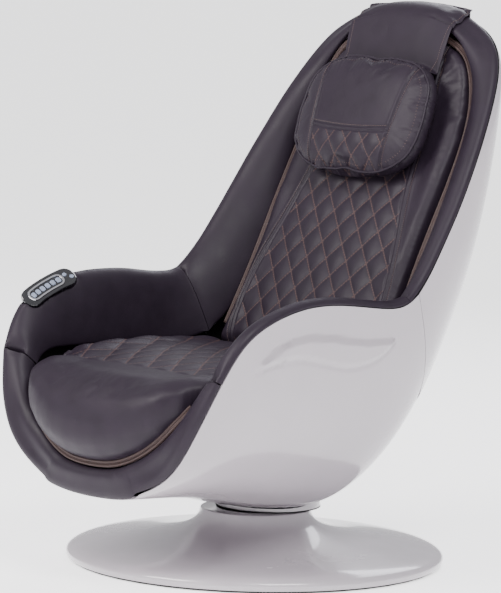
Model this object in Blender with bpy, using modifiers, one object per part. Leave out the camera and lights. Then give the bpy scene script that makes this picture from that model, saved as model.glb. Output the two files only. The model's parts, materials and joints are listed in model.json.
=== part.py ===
"""Swivel massage chair: a white bucket shell on a trumpet base, with a padded
surround, seat cushion, back pad and head pillow, and the massage drive inside.

Metres, +Z up. The sitter faces -Y. The origin is on the floor under the middle
of the chair's outer box. The base disc is CENTRE_Y behind it, and the seat turns
about a vertical axis SWIVEL_Y behind the disc's middle.
"""
import math

import bmesh
import bpy
import numpy as np
from mathutils import Matrix, Vector
from mathutils.bvhtree import BVHTree

# ---------------------------------------------------------------- dimensions
CENTRE_Y = 0.00750          # the disc's centre behind the outer box's middle
SWIVEL_Y = 0.033            # swivel axis behind the disc's centre
GAP = 0.0008                # clearance between neighbouring hard parts
SOFT_GAP = 0.0012           # clearance between padding and what is beside it

DISC_R = 0.356              # base disc, outer radius
NECK_R = 0.104              # top of the trumpet neck
NECK_TOP = 0.0995           # height of the neck's rim
COVER_T = 0.0035            # wall of the base cover
PLATE_T = 0.010             # steel floor plate under the cover
POST_R = 0.022              # fixed swivel post
BUSH_T = 0.0042             # wall and play of the swivel bush

SHELL_T = 0.004             # wall of the moulded shell
SEAM_U = 8.5                # where the side shells meet the back panels
SEAM_V = 0.60               # where the back panel meets the wings
SEAM_GAP = 0.0010           # open line between shell panels
SIDE_ROWS = 22              # facets along a side shell
HUB_HOLE_R = POST_R + 0.024 # hole in the shell's floor for the hub

ROLL_RISE = 0.015           # the padded edge stands this far above the shell
CORNER_EASE = 0.0070        # the padding stands off the shell's tight corners
EDGE_EASE = 0.0030          # and a little off its front and top edges
ARM_FRONT = 2.65            # sewn seam between the front and the arms
ARM_BACK = 8.05             # sewn seam between the arms and the back

SEAT_HALF = 0.238           # half width of the seat cushion
ZIP_SPACE = 0.0150          # room round the cushion for its zipped tape
ZIP_OUT = 0.0092            # the back's zipped tape stands off the pad's side
SEAT_TOP = 0.386            # top of the seat cushion at its middle
SEAT_BOTTOM = 0.302         # underside of the seat cushion
PAD_T = 0.038               # thickness of the back pad

PILLOW_W = 0.172            # head pillow, half width
PILLOW_H = 0.126            # head pillow, half height
PILLOW_T = 0.036            # head pillow, half thickness
PILLOW_C = (0.0, 0.270, 0.826)
PILLOW_HINGE = (0.0, 0.4330, 1.0340)
FLAP_T = 0.0024             # the pillow's leather flap
FLAP_TOP = 0.142            # its half width over the top
FLAP_FOOT = 0.124           # its half width behind the pillow
FLAP_CORNER = 0.055         # its rounded rear corners
FLAP_ARCH = 0.012           # its edges lie this much lower than its middle

RECLINE = math.radians(27.8)  # slope of the back from upright
BACK_Y = 0.129              # the back pad's face at BACK_Z
BACK_Z = 0.457
RAIL_X = 0.112              # guide rails each side of the middle
ROLLER_R = 0.026            # massage roller
ROLLER_X = 0.058            # rollers each side of the middle
ROLLER_PLAY = 0.004         # between a roller and the carriage
ROLLER_SPACE = 0.010        # room between the pad and the rollers
ROLLER_D = PAD_T + ROLLER_SPACE + ROLLER_R  # roller axles behind the pad's face
RAIL_D = ROLLER_D + 0.015   # guide rails behind the pad's face
ROLLER_REACH = 0.060        # roller axles above and below the arm's pivot

# Stretches of the edge loop that turn a corner.
CORNERS = ((-0.45, 0.80), (16.2, 17.45))

# The shell's side view. Each row is the middle of the shell (y, z), and its
# edge at the same section (half width, y, z), from the front to the top.
SHELL = (
    (-0.415, 0.159, 0.121, -0.415, 0.179),
    (-0.335, 0.156, 0.200, -0.413, 0.219),
    (-0.255, 0.147, 0.262, -0.404, 0.310),
    (-0.172, 0.132, 0.298, -0.358, 0.428),
    (-0.102, 0.115, 0.306, -0.292, 0.486),
    (-0.035, 0.105, 0.307, -0.187, 0.515),
    (0.033, 0.104, 0.308, -0.077, 0.513),
    (0.096, 0.133, 0.311, 0.013, 0.502),
    (0.158, 0.190, 0.312, 0.073, 0.508),
    (0.220, 0.270, 0.309, 0.123, 0.549),
    (0.277, 0.361, 0.304, 0.171, 0.612),
    (0.325, 0.465, 0.299, 0.216, 0.676),
    (0.361, 0.578, 0.290, 0.263, 0.748),
    (0.386, 0.693, 0.278, 0.305, 0.814),
    (0.405, 0.803, 0.262, 0.345, 0.878),
    (0.419, 0.901, 0.236, 0.383, 0.940),
    (0.427, 0.975, 0.190, 0.405, 0.990),
    (0.428, 1.020, 0.120, 0.412, 1.018),
)
LAST = len(SHELL) - 1

# Squareness of the U section at four places along the side view.
SQUARENESS = ((0, 2.15), (6, 2.70), (10, 2.47), (LAST, 2.80))

# The inner border of the padded surround, where it meets the cushions.
# Loop position (-1 front middle, 0 to 17 the shell's rows, 18 top middle),
# then x, y, z.
BORDER = (
    (-1.0, 0.000, -0.419, 0.214),
    (-0.5, 0.048, -0.418, 0.217),
    (0.0, 0.088, -0.414, 0.227),
    (1.0, 0.158, -0.403, 0.268),
    (2.0, 0.212, -0.382, 0.328),
    (3.0, 0.245, -0.325, 0.384),
    (4.0, 0.251, -0.265, 0.394),
    (5.0, 0.252, -0.180, 0.392),
    (6.0, 0.252, -0.080, 0.388),
    (7.0, 0.247, 0.010, 0.386),
    (8.0, 0.234, 0.088, 0.400),
    (9.0, 0.224, 0.152, 0.452),
    (10.0, 0.219, 0.206, 0.540),
    (11.0, 0.219, 0.246, 0.625),
    (12.0, 0.220, 0.284, 0.712),
    (13.0, 0.218, 0.315, 0.785),
    (14.0, 0.211, 0.339, 0.850),
    (15.0, 0.194, 0.354, 0.908),
    (16.0, 0.163, 0.363, 0.957),
    (17.0, 0.115, 0.367, 0.992),
    (17.5, 0.060, 0.369, 1.006),
    (18.0, 0.000, 0.370, 1.011),
)

# The back pad: the middle of its face (y, z) and its half width.
PAD = (
    (0.094, 0.386, 0.212),
    (0.129, 0.457, 0.206),
    (0.172, 0.540, 0.202),
    (0.216, 0.625, 0.202),
    (0.263, 0.712, 0.203),
    (0.301, 0.785, 0.201),
    (0.329, 0.850, 0.194),
    (0.347, 0.908, 0.176),
    (0.356, 0.950, 0.145),
    (0.360, 0.974, 0.086),
)

COLORS = {
    "gloss_white_shell": ("D6D3D8", 0.18, 0.0),
    "gloss_white_base": ("DAD8DE", 0.20, 0.0),
    "dark_leather": ("463D46", 0.45, 0.0),
    "quilted_leather": ("4B424B", 0.45, 0.0),
    "brown_zip_tape": ("6E4A42", 0.70, 0.0),
    "black_gloss_plastic": ("17161A", 0.15, 0.0),
    "chrome_trim": ("C9C9CC", 0.08, 1.0),
    "button_plastic": ("B9C4D6", 0.30, 0.0),
    "steel_plate": ("3A3B3E", 0.45, 0.8),
    "steel_frame": ("26272A", 0.50, 0.7),
    "bright_steel": ("B4B6B8", 0.25, 1.0),
    "black_rubber": ("151515", 0.80, 0.0),
    "grey_plastic": ("55565A", 0.50, 0.0),
    "roller_plastic": ("8A8C8E", 0.40, 0.0),
    "motor_case": ("6D6F73", 0.40, 0.9),
    "board_ply": ("A98A5F", 0.60, 0.0),
}


# ------------------------------------------------------------------- helpers
def clear_scene():
    """Start from an empty scene."""
    for old in list(bpy.data.objects):
        bpy.data.objects.remove(old, do_unlink=True)


def new_collection(name):
    """A collection linked to the scene."""
    made = bpy.data.collections.new(name)
    bpy.context.scene.collection.children.link(made)
    return made


def linear(code):
    """An sRGB hex code as linear colour values."""
    out = []
    for at in (0, 2, 4):
        c = int(code[at:at + 2], 16) / 255.0
        out.append(c / 12.92 if c <= 0.04045 else ((c + 0.055) / 1.055) ** 2.4)
    return out


def material(slot):
    """The slot's Principled material, made once."""
    if slot in bpy.data.materials:
        return bpy.data.materials[slot]
    code, rough, metal = COLORS[slot]
    made = bpy.data.materials.new(slot)
    made.use_nodes = True
    shader = made.node_tree.nodes["Principled BSDF"]
    shader.inputs["Base Color"].default_value = (*linear(code), 1.0)
    shader.inputs["Roughness"].default_value = rough
    shader.inputs["Metallic"].default_value = metal
    made.diffuse_color = (*linear(code), 1.0)
    return made


def finish(bm, name, slot, where="parts", smooth=40.0):
    """Turn a bmesh into a named object with outward normals."""
    bmesh.ops.recalc_face_normals(bm, faces=bm.faces)
    if bm.calc_volume(signed=True) < 0:
        bmesh.ops.reverse_faces(bm, faces=bm.faces)
    mesh = bpy.data.meshes.new(name)
    bm.to_mesh(mesh)
    bm.free()
    made = bpy.data.objects.new(name, mesh)
    mesh.materials.append(material(slot))
    PLACES[where].objects.link(made)
    if smooth:
        mesh.shade_smooth()
        mesh.set_sharp_from_angle(angle=math.radians(smooth))
    if where == "cutters":
        made.hide_render = True
        made.display_type = "WIRE"
    return made


def fit_curve(knots, values):
    """A natural cubic curve through the values: its knots, values and bends."""
    x = np.asarray(knots, float)
    y = np.asarray(values, float)
    n = len(x)
    h = np.diff(x)
    a = np.zeros((n, n))
    b = np.zeros((n,) + y.shape[1:])
    a[0, 0] = 1.0
    a[-1, -1] = 1.0
    for i in range(1, n - 1):
        a[i, i - 1] = h[i - 1]
        a[i, i] = 2.0 * (h[i - 1] + h[i])
        a[i, i + 1] = h[i]
        b[i] = 6.0 * ((y[i + 1] - y[i]) / h[i] - (y[i] - y[i - 1]) / h[i - 1])
    return x, y, np.linalg.solve(a, b)


def read_curve(curve, t):
    """The fitted curve's value at one place."""
    x, y, m = curve
    k = int(min(max(np.searchsorted(x, t, side="right") - 1, 0), len(x) - 2))
    w = x[k + 1] - x[k]
    d = t - x[k]
    e = x[k + 1] - t
    low = m[k] * e ** 3 / (6 * w) + (y[k] / w - m[k] * w / 6) * e
    high = m[k + 1] * d ** 3 / (6 * w) + (y[k + 1] / w - m[k + 1] * w / 6) * d
    return low + high


def ring_through(points, count):
    """A closed smooth ring of evenly spread points through the given ones."""
    p = np.asarray(points, float)
    p = np.vstack([p[-3:], p, p[:4]])
    step = np.sqrt(np.linalg.norm(np.diff(p, axis=0), axis=1)) + 1e-9
    knots = np.concatenate([[0.0], np.cumsum(step)])
    curve = fit_curve(knots, p)
    return [read_curve(curve, t) for t in np.linspace(knots[3], knots[-4], count, endpoint=False)]


def loft(rings, name, slot, where="parts", smooth=40.0, join_ends=False, strip_ends=False):
    """A closed solid through rings of equally many points.

    Its ends are filled flat, or for a hooked outline by a strip of faces that
    joins the outline's first points to its last.
    """
    bm = bmesh.new()
    rows = [[bm.verts.new(tuple(p)) for p in ring] for ring in rings]
    pairs = list(zip(rows, rows[1:]))
    if join_ends:
        pairs.append((rows[-1], rows[0]))
    for one, two in pairs:
        for i in range(len(one)):
            j = (i + 1) % len(one)
            bm.faces.new((one[i], one[j], two[j], two[i]))
    for row in () if join_ends else (rows[0], rows[-1]):
        if strip_ends:
            last = len(row) - 1
            for i in range(last // 2):
                bm.faces.new((row[i], row[i + 1], row[last - 1 - i], row[last - i]))
        else:
            bmesh.ops.triangulate(bm, faces=[bm.faces.new(row)])
    return finish(bm, name, slot, where, smooth)


def box(name, slot, size, where="parts", bevel=0.0, frame=None):
    """A box with its edges eased, in a local frame if one is given."""
    bm = bmesh.new()
    bmesh.ops.create_cube(bm, size=1.0)
    bmesh.ops.scale(bm, vec=Vector(size), verts=bm.verts)
    if bevel:
        bmesh.ops.bevel(bm, geom=bm.edges, offset=bevel, segments=2, affect="EDGES")
    made = finish(bm, name, slot, where, 30.0)
    if frame is not None:
        made.matrix_world = frame
    return made


def turned(name, slot, profile, steps=48, frame=None):
    """A turned piece: a closed (radius, height) outline given to a Screw modifier."""
    turn = sum(a[0] * b[1] - b[0] * a[1] for a, b in zip(profile, profile[1:] + profile[:1]))
    outline = profile if turn < 0 else profile[::-1]
    mesh = bpy.data.meshes.new(name)
    edges = [(k, (k + 1) % len(outline)) for k in range(len(outline))]
    mesh.from_pydata([(r, 0.0, z) for r, z in outline], edges, [])
    mesh.materials.append(material(slot))
    made = bpy.data.objects.new(name, mesh)
    PLACES["parts"].objects.link(made)
    screw = made.modifiers.new("Turned about Z", "SCREW")
    screw.axis = "Z"
    screw.steps = steps
    screw.render_steps = steps
    screw.use_merge_vertices = True
    screw.merge_threshold = 0.00001
    screw.use_smooth_shade = True
    if frame is not None:
        made.matrix_world = frame
    return made


def rod(name, slot, radius, length, frame, where="parts", sides=16, chamfer=0.0):
    """A solid round bar along the frame's Z axis, centred on it."""
    bm = bmesh.new()
    bmesh.ops.create_cone(bm, cap_ends=True, segments=sides, radius1=radius,
                          radius2=radius, depth=length)
    if chamfer:
        rim = [e for e in bm.edges if all(abs(abs(v.co.z) - length / 2) < 1e-6 for v in e.verts)]
        bmesh.ops.bevel(bm, geom=rim, offset=chamfer, segments=1, affect="EDGES")
    made = finish(bm, name, slot, where, 30.0)
    made.matrix_world = frame
    return made


def put_origin(made, point):
    """Move the object's origin to a point on its joint's axis."""
    shift = made.matrix_world.inverted() @ Vector(point)
    made.data.transform(Matrix.Translation(-shift))
    made.matrix_world = made.matrix_world @ Matrix.Translation(shift)


def hang_from(name, point, children):
    """An empty on a joint's axis that carries the named pieces."""
    axis = bpy.data.objects.new(name, None)
    axis.location = point
    PLACES["parts"].objects.link(axis)
    bpy.context.view_layer.update()
    for child in children:
        piece = bpy.data.objects[child]
        piece.parent = axis
        piece.matrix_parent_inverse = axis.matrix_world.inverted()
    return axis


def boolean(target, cutter, kind="DIFFERENCE"):
    """Add an exact Boolean to the target."""
    step = target.modifiers.new(kind.title() + " " + cutter.name, "BOOLEAN")
    step.operation = kind
    step.solver = "EXACT"
    step.object = cutter


def frame_at(origin, x_axis, z_axis):
    """A placement with the given origin and axes."""
    z = Vector(z_axis).normalized()
    x = Vector(x_axis)
    x = (x - z * x.dot(z)).normalized()
    y = z.cross(x)
    turn = Matrix((x, y, z)).transposed().to_4x4()
    return Matrix.Translation(Vector(origin)) @ turn


# ------------------------------------------------------------ shell geometry
SHELL_CURVE = fit_curve(range(LAST + 1), SHELL)
BORDER_CURVE = fit_curve([row[0] for row in BORDER], [row[1:] for row in BORDER])
PAD_CURVE = fit_curve(range(len(PAD)), PAD)


def shell_point(u, v):
    """A point on the shell's outside: u along the side view, v -1 to 1 across."""
    row = read_curve(SHELL_CURVE, u)
    power = np.interp(u, [k for k, _ in SQUARENESS], [p for _, p in SQUARENESS])
    t = min(abs(v), 1.0) * math.pi / 2
    out = math.sin(t) ** (2 / power)
    up = 1.0 - max(math.cos(t), 0.0) ** (2 / power)
    y = row[0] + (row[3] - row[0]) * up
    z = row[1] + (row[4] - row[1]) * up
    return np.array([math.copysign(row[2] * out, v), y, z])


def shell_normal(u, v):
    """The inward normal of the shell's outside."""
    u = min(max(u, 0.02), LAST - 0.02)
    v = math.copysign(min(max(abs(v), 0.03), 0.985), v if v else 1.0)
    du = shell_point(u + 0.02, v) - shell_point(u - 0.02, v)
    dv = shell_point(u, v + 0.01) - shell_point(u, v - 0.01)
    n = np.cross(du, dv)
    n = n / np.linalg.norm(n)
    inside = np.array([0.0, -0.05, 0.45]) - shell_point(u, v)
    return n if np.dot(n, inside) > 0 else -n


def shell_panel(name, u_low, u_high, v_low, v_high, nu, nv):
    """One moulded panel of the shell: its outside, its inside and its rim."""
    bm = bmesh.new()
    outer = []
    inner = []
    for i in range(nu + 1):
        u = u_low + (u_high - u_low) * i / nu
        outer.append([])
        inner.append([])
        for j in range(nv + 1):
            v = v_low + (v_high - v_low) * j / nv
            skin = shell_point(u, v)
            outer[-1].append(bm.verts.new(tuple(skin)))
            inner[-1].append(bm.verts.new(tuple(skin + shell_normal(u, v) * SHELL_T)))
    for i in range(nu):
        for j in range(nv):
            for g in (outer, inner):
                bm.faces.new((g[i][j], g[i][j + 1], g[i + 1][j + 1], g[i + 1][j]))
    for i in range(nu):
        for j in (0, nv):
            bm.faces.new((outer[i][j], outer[i + 1][j], inner[i + 1][j], inner[i][j]))
    for j in range(nv):
        for i in (0, nu):
            bm.faces.new((outer[i][j], outer[i][j + 1], inner[i][j + 1], inner[i][j]))
    return finish(bm, name, "gloss_white_shell", "parts", 50.0)


def make_shells():
    """Five panels: two sides, a back and two wings."""
    half = SEAM_GAP * 5
    du = SEAM_GAP / 2 / 0.095
    sides = []
    for name, sign in (("shell_side_left", 1), ("shell_side_right", -1)):
        low = sign * half
        made = shell_panel(name, 0.0, SEAM_U - du, low, sign * 1.0, SIDE_ROWS, 10)
        sides.append(made)
    shell_panel("shell_back", SEAM_U + du, LAST, -SEAM_V + half, SEAM_V - half, 18, 10)
    for name, sign in (("shell_wing_left", 1), ("shell_wing_right", -1)):
        shell_panel(name, SEAM_U + du, LAST, sign * (SEAM_V + half), sign, 18, 5)
    hole = rod("cut_hub_hole", "steel_plate", HUB_HOLE_R, 0.2,
               Matrix.Translation((0, SWIVEL_Y, 0.12)), "cutters", 48)
    for made in sides:
        boolean(made, hole)


# ------------------------------------------------------- surround geometry
def loop_spot(c):
    """Where a loop position lies on the shell: u, v and the edge point."""
    c = min(max(c, -1.999), LAST + 1.999)
    if c < 0:
        u, v = 0.0, c + 1.0
    elif c > LAST:
        u, v = float(LAST), LAST + 1.0 - c
    else:
        u, v = c, 1.0
    return u, v, shell_point(u, v)


def edge_axes(c):
    """The directions at the shell's edge: down its wall, and inward from it."""
    u, v, edge = loop_spot(c)
    along = loop_spot(c + 0.16)[2] - loop_spot(c - 0.16)[2]
    along = along / np.linalg.norm(along)
    inward = shell_normal(u, v)
    inward = inward - along * np.dot(along, inward)
    inward = inward / np.linalg.norm(inward)
    wall = np.cross(inward, along)
    middle = read_curve(SHELL_CURVE, min(max(c, 3.0), LAST - 3.0))
    if np.dot(wall, np.array([0.0, middle[0], middle[1]]) - edge) < 0:
        wall = -wall
    return wall, inward


def loop_place(c):
    """The shell's edge at a loop position, with its outward and inward axes."""
    u, v, edge = loop_spot(c)
    blend = np.clip((c + 0.5) / 1.1, 0, 1) * np.clip((LAST + 0.5 - c) / 1.1, 0, 1)
    side = blend * blend * (3 - 2 * blend)
    wall, inward = edge_axes(c)
    for low, high in CORNERS:
        if low < c < high:
            share = (c - low) / (high - low)
            one = edge_axes(low)
            two = edge_axes(high)
            wall = one[0] * (1 - share) + two[0] * share
            inward = one[1] * (1 - share) + two[1] * share
            wall = wall / np.linalg.norm(wall)
            inward = inward - wall * np.dot(wall, inward)
            inward = inward / np.linalg.norm(inward)
    row = read_curve(SHELL_CURVE, u)
    depth = math.hypot(row[0] - row[3], row[1] - row[4])
    return u, v, side, edge, wall, inward, depth


def behind_edge(u, v, side, depth, reach, c):
    """A point inside the shell's wall, the given reach down from its edge."""
    power = np.interp(u, [k for k, _ in SQUARENESS], [p for _, p in SQUARENESS])
    share = min(reach / depth, reach / 0.15)
    v_in = math.acos(share ** (power / 2)) / (math.pi / 2)
    step = reach / 0.085 if c < LAST / 2 else -reach / 0.060
    u_in = u + step * (1 - side)
    v_new = v * (1 - side) + min(v, v_in) * side
    clear = SHELL_T + 4 * SOFT_GAP + CORNER_EASE * 4 * side * (1 - side) + EDGE_EASE * (1 - side)
    return shell_point(u_in, v_new) + shell_normal(u_in, v_new) * clear


def roll_section(c, sign):
    """The closed outline of the padded surround at a loop position."""
    u, v, side, edge, wall, inward, depth = loop_place(c)
    border = read_curve(BORDER_CURVE, c)
    crest = edge - wall * ROLL_RISE + inward * 0.028
    chord = border - crest
    ahead = loop_spot(c + 0.05)[2] - loop_spot(c - 0.05)[2]
    proud = np.cross(ahead, chord)
    proud = proud / np.linalg.norm(proud)
    deep = behind_edge(u, v, side, depth, 0.062, c)
    ease = CORNER_EASE * 4 * side * (1 - side) + EDGE_EASE * (1 - side)
    points = [
        edge - wall * (1.3 * SOFT_GAP + ease * 0.7) + inward * 0.0004,
        edge - wall * (ROLL_RISE * 0.62) + inward * 0.0015,
        edge - wall * (ROLL_RISE * 0.97) + inward * 0.0110,
        crest + inward * -0.003,
        crest + chord * 0.30 + proud * 0.0075,
        crest + chord * 0.65 + proud * 0.0080,
        border + proud * 0.0030,
        border - proud * 0.0070,
        border + (deep - border) * 0.45 - proud * 0.006,
        deep,
        behind_edge(u, v, side, depth, 0.034, c),
        edge + wall * 0.007 + inward * (SHELL_T + 2.6 * SOFT_GAP + ease),
        edge + inward * (SHELL_T + 2.2 * SOFT_GAP + ease),
        edge - wall * (1.6 * SOFT_GAP + ease) + inward * (SHELL_T * 0.6),
    ]
    flip = np.array([sign, 1.0, 1.0])
    return [p * flip for p in points]


def make_surround():
    """The padded cover round the shell's edge, in its four sewn lengths."""
    cut = 0.008
    side_step = SEAM_U / SIDE_ROWS
    front = [ARM_FRONT - cut] + [side_step * k for k in (6, 5, 4, 3, 2, 1, 0.5)]
    front += [0.0, -0.1, -0.2, -0.3, -0.4, -0.6, -0.8, -1.0]
    rings = [roll_section(c, -1) for c in front]
    rings += [roll_section(c, 1) for c in front[-2::-1]]
    loft(rings, "surround_front", "dark_leather", smooth=60, strip_ends=True)
    arm = np.linspace(ARM_FRONT + cut, ARM_BACK - cut, 15)
    for name, sign in (("surround_arm_left", 1), ("surround_arm_right", -1)):
        rings = [roll_section(c, sign) for c in arm]
        loft(rings, name, "dark_leather", smooth=60, strip_ends=True)
    back = np.concatenate([np.linspace(ARM_BACK + cut, 16.4, 15), np.linspace(16.8, 18.0, 5)])
    rings = [roll_section(c, 1) for c in back]
    rings += [roll_section(c, -1) for c in back[-2::-1]]
    loft(rings, "surround_back", "dark_leather", smooth=60, strip_ends=True)


# ----------------------------------------------------------------- cushions
def seat_edge():
    """The line of the seat cushion's lower front edge: rows of x, y and z."""
    out = []
    for c in np.linspace(-1.0, 3.6, 40):
        border = read_curve(BORDER_CURVE, c)
        inward = np.array([-border[0], 0.0, 0.36 - border[2]])
        out.append(border + inward / np.linalg.norm(inward) * ZIP_SPACE)
    return np.array(out).T


def seat_outline(x, edge):
    """The seat cushion's closed side view at a distance x from the middle."""
    s = abs(x) / SEAT_HALF
    low = np.interp(abs(x), edge[0], edge[2])
    hem = np.interp(abs(x), edge[0], edge[1]) + 0.105 * s ** 16
    face = hem - 0.032 * (1 - s ** 4) - 0.002
    rear = 0.074 - 0.075 * s ** 10
    top = SEAT_TOP - 0.006 * s ** 2 - 0.014 * s ** 8
    under = SEAT_BOTTOM + 0.050 * s ** 6
    low = min(low, top - 0.012)
    brow = top - 0.030 * (1 - s ** 6) - 0.004
    middle = (brow + low) / 2
    return [
        (rear - 0.010, under + 0.006),
        (rear, (under + top) / 2),
        (rear - 0.012, top - 0.005),
        (rear - 0.060, top + 0.002),
        (-0.080, top + 0.006),
        (-0.190, top + 0.006),
        (-0.270, top - 0.002),
        (face + 0.090, top - 0.012),
        (face + 0.040, (brow + top) / 2),
        (face + 0.008, brow * 0.62 + middle * 0.38),
        (face, middle),
        (face + 0.006, middle * 0.3 + low * 0.7),
        (hem + 0.004, low),
        (hem + 0.026, low + 0.006),
        (hem + 0.060, max(under, low + 0.020) + 0.002),
        (-0.240, under),
        (-0.100, under),
        (0.020, under + 0.002),
    ]


def make_seat_cushion():
    """The seat cushion: top, front face and a tucked lower edge."""
    places = np.array([0, 0.18, 0.36, 0.53, 0.68, 0.81, 0.90, 0.96, 0.99]) * SEAT_HALF
    rings = []
    edge = seat_edge()
    for x in list(-places[:0:-1]) + list(places):
        ring = ring_through(seat_outline(x, edge), 28)
        rings.append([(x, y, z) for y, z in ring])
    loft(rings, "seat_cushion", "quilted_leather", smooth=60)


def pad_frame(place):
    """The back pad's face at a place along it: point, up and rearward axes."""
    here = read_curve(PAD_CURVE, place)
    ahead = read_curve(PAD_CURVE, place + 0.02) - read_curve(PAD_CURVE, place - 0.02)
    up = np.array([0.0, ahead[0], ahead[1]])
    up = up / np.linalg.norm(up)
    rear = np.array([0.0, up[2], -up[1]])
    return np.array([0.0, here[0], here[1]]), up, rear, here[2]


def make_back_pad():
    """The back pad: crowned across, thin, with a rounded top."""
    rings = []
    end = len(PAD) - 1
    for place in np.concatenate([[0.0, 0.12], np.linspace(0.5, end - 0.3, 15), [end]]):
        origin, up, rear, half = pad_frame(place)
        thick = PAD_T if 0.05 < place < end - 0.1 else PAD_T * 0.55
        start = (PAD_T - thick) / 2
        ring = []
        for k in range(9):
            s = -1 + 2 * k / 8
            drop = 0.010 * abs(s) ** 3
            ring.append((s * half * 0.985, start + drop))
        ring.append((half, start + 0.35 * thick + 0.006))
        ring.append((half, start + 0.75 * thick))
        for k in range(5):
            s = 1 - 2 * k / 4
            ring.append((s * half * 0.97, start + thick))
        ring.append((-half, start + 0.75 * thick))
        ring.append((-half, start + 0.35 * thick + 0.006))
        rings.append([origin + rear * d + np.array([x, 0, 0]) for x, d in ring])
    loft(rings, "back_pad", "quilted_leather", smooth=60)


def ribbon(name, path, normals, width, depth, slot):
    """A flat tape swept along a path, standing on its normals."""
    rings = []
    path = np.asarray(path)
    for k, (p, n) in enumerate(zip(path, normals)):
        ahead = path[min(k + 1, len(path) - 1)] - path[max(k - 1, 0)]
        ahead = ahead / np.linalg.norm(ahead)
        n = n - ahead * np.dot(ahead, n)
        n = n / np.linalg.norm(n)
        side = np.cross(ahead, n)
        rings.append([p + side * width / 2 + n * depth / 2, p - side * width / 2 + n * depth / 2,
                      p - side * width / 2 - n * depth / 2, p + side * width / 2 - n * depth / 2])
    return loft(rings, name, slot, smooth=30)


def make_zip_bands():
    """The zipped tapes round the back pad and under the seat cushion."""
    path = []
    normals = []
    end = len(PAD) - 1
    for place in np.linspace(0.35, end - 0.05, 26):
        origin, up, rear, half = pad_frame(place)
        ahead = read_curve(PAD_CURVE, place + 0.02) - read_curve(PAD_CURVE, place - 0.02)
        run = math.hypot(ahead[0], ahead[1])
        lean = math.atan2(-ahead[2], run)
        spot = origin + rear * 0.020 + up * (ZIP_OUT * math.sin(lean))
        path.append(spot + np.array([half + ZIP_OUT * math.cos(lean), 0, 0]))
        normals.append(-rear)
    origin, up, rear, half = pad_frame(end)
    for share in (0.72, 0.36, 0.0):
        spot = origin + up * (ZIP_OUT + 0.0030 * (1 - share) + 0.001)
        path.append(spot + rear * 0.020 + np.array([half * share, 0, 0]))
        normals.append(-rear)
    mirrored = [p * np.array([-1, 1, 1]) for p in path[-2::-1]]
    ribbon("back_zip_band", path + mirrored, normals + normals[-2::-1], 0.0085, 0.010,
           "brown_zip_tape")
    path = []
    normals = []
    for c in np.linspace(3.3, -1.0, 20):
        border = read_curve(BORDER_CURVE, c)
        middle = np.array([0.0, -0.36, 0.36])
        inward = middle - border
        inward[1] = 0
        inward = inward / np.linalg.norm(inward)
        forward = np.array([0.0, -1.0, 0.0])
        path.append(border + inward * 0.0085 - forward * 0.004)
        normals.append(forward)
    mirrored = [p * np.array([-1, 1, 1]) for p in path[-2::-1]]
    ribbon("seat_zip_band", path + mirrored, normals + normals[-2::-1], 0.0075, 0.010,
           "brown_zip_tape")


def make_head_pillow():
    """The head pillow, a crowned pad with square shoulders."""
    tilt = math.radians(21.5)
    up = Vector((0, math.sin(tilt), math.cos(tilt)))
    rear = Vector((0, math.cos(tilt), -math.sin(tilt)))
    centre = Vector(PILLOW_C)
    rings = []
    for k in range(10):
        a = math.radians(-84 + 168 * k / 9)
        size = math.cos(a) ** 0.42
        deep = PILLOW_T * math.sin(a)
        ring = []
        for m in range(26):
            b = 2 * math.pi * m / 26
            x = PILLOW_W * size * math.copysign(abs(math.cos(b)) ** 0.66, math.cos(b))
            h = PILLOW_H * size * math.copysign(abs(math.sin(b)) ** 0.66, math.sin(b))
            ring.append(centre + Vector((x, 0, 0)) + up * h + rear * deep)
        rings.append(ring)
    loft(rings, "head_pillow", "quilted_leather", smooth=60)


def make_pillow_flap():
    """The leather flap that hangs the pillow over the top of the back."""
    side = [(0.4365, 1.0320), (0.4310, 1.0385), (0.4180, 1.0420), (0.3990, 1.0410),
            (0.3790, 1.0335), (0.3610, 1.0095), (0.3500, 0.9740), (0.3440, 0.9480)]
    curve = fit_curve(range(len(side)), side)
    line = np.array([read_curve(curve, place) for place in np.linspace(0, len(side) - 1, 18)])
    run = np.concatenate([[0.0], np.cumsum(np.linalg.norm(np.diff(line, axis=0), axis=1))])
    rings = []
    for k, (y, z) in enumerate(line):
        step = line[min(k + 1, len(line) - 1)] - line[max(k - 1, 0)]
        out = np.array([0.0, step[1], -step[0]]) / np.linalg.norm(step)
        share = run[k] / run[-1]
        short = max(0.0, 1.0 - (run[k] + 0.002) / FLAP_CORNER)
        corner = FLAP_CORNER * (1.0 - math.sqrt(1.0 - short ** 2))
        half = FLAP_TOP + (FLAP_FOOT - FLAP_TOP) * share - corner
        ring = []
        for face in (-1, 1):
            for m in range(9):
                x = half * (m / 4 - 1) * -face
                drop = FLAP_ARCH * (x / FLAP_TOP) ** 2
                ring.append(np.array([x, y, z - drop]) + out * (face * FLAP_T / 2))
        rings.append(ring)
    loft(rings, "pillow_flap", "dark_leather", smooth=60)


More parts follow.
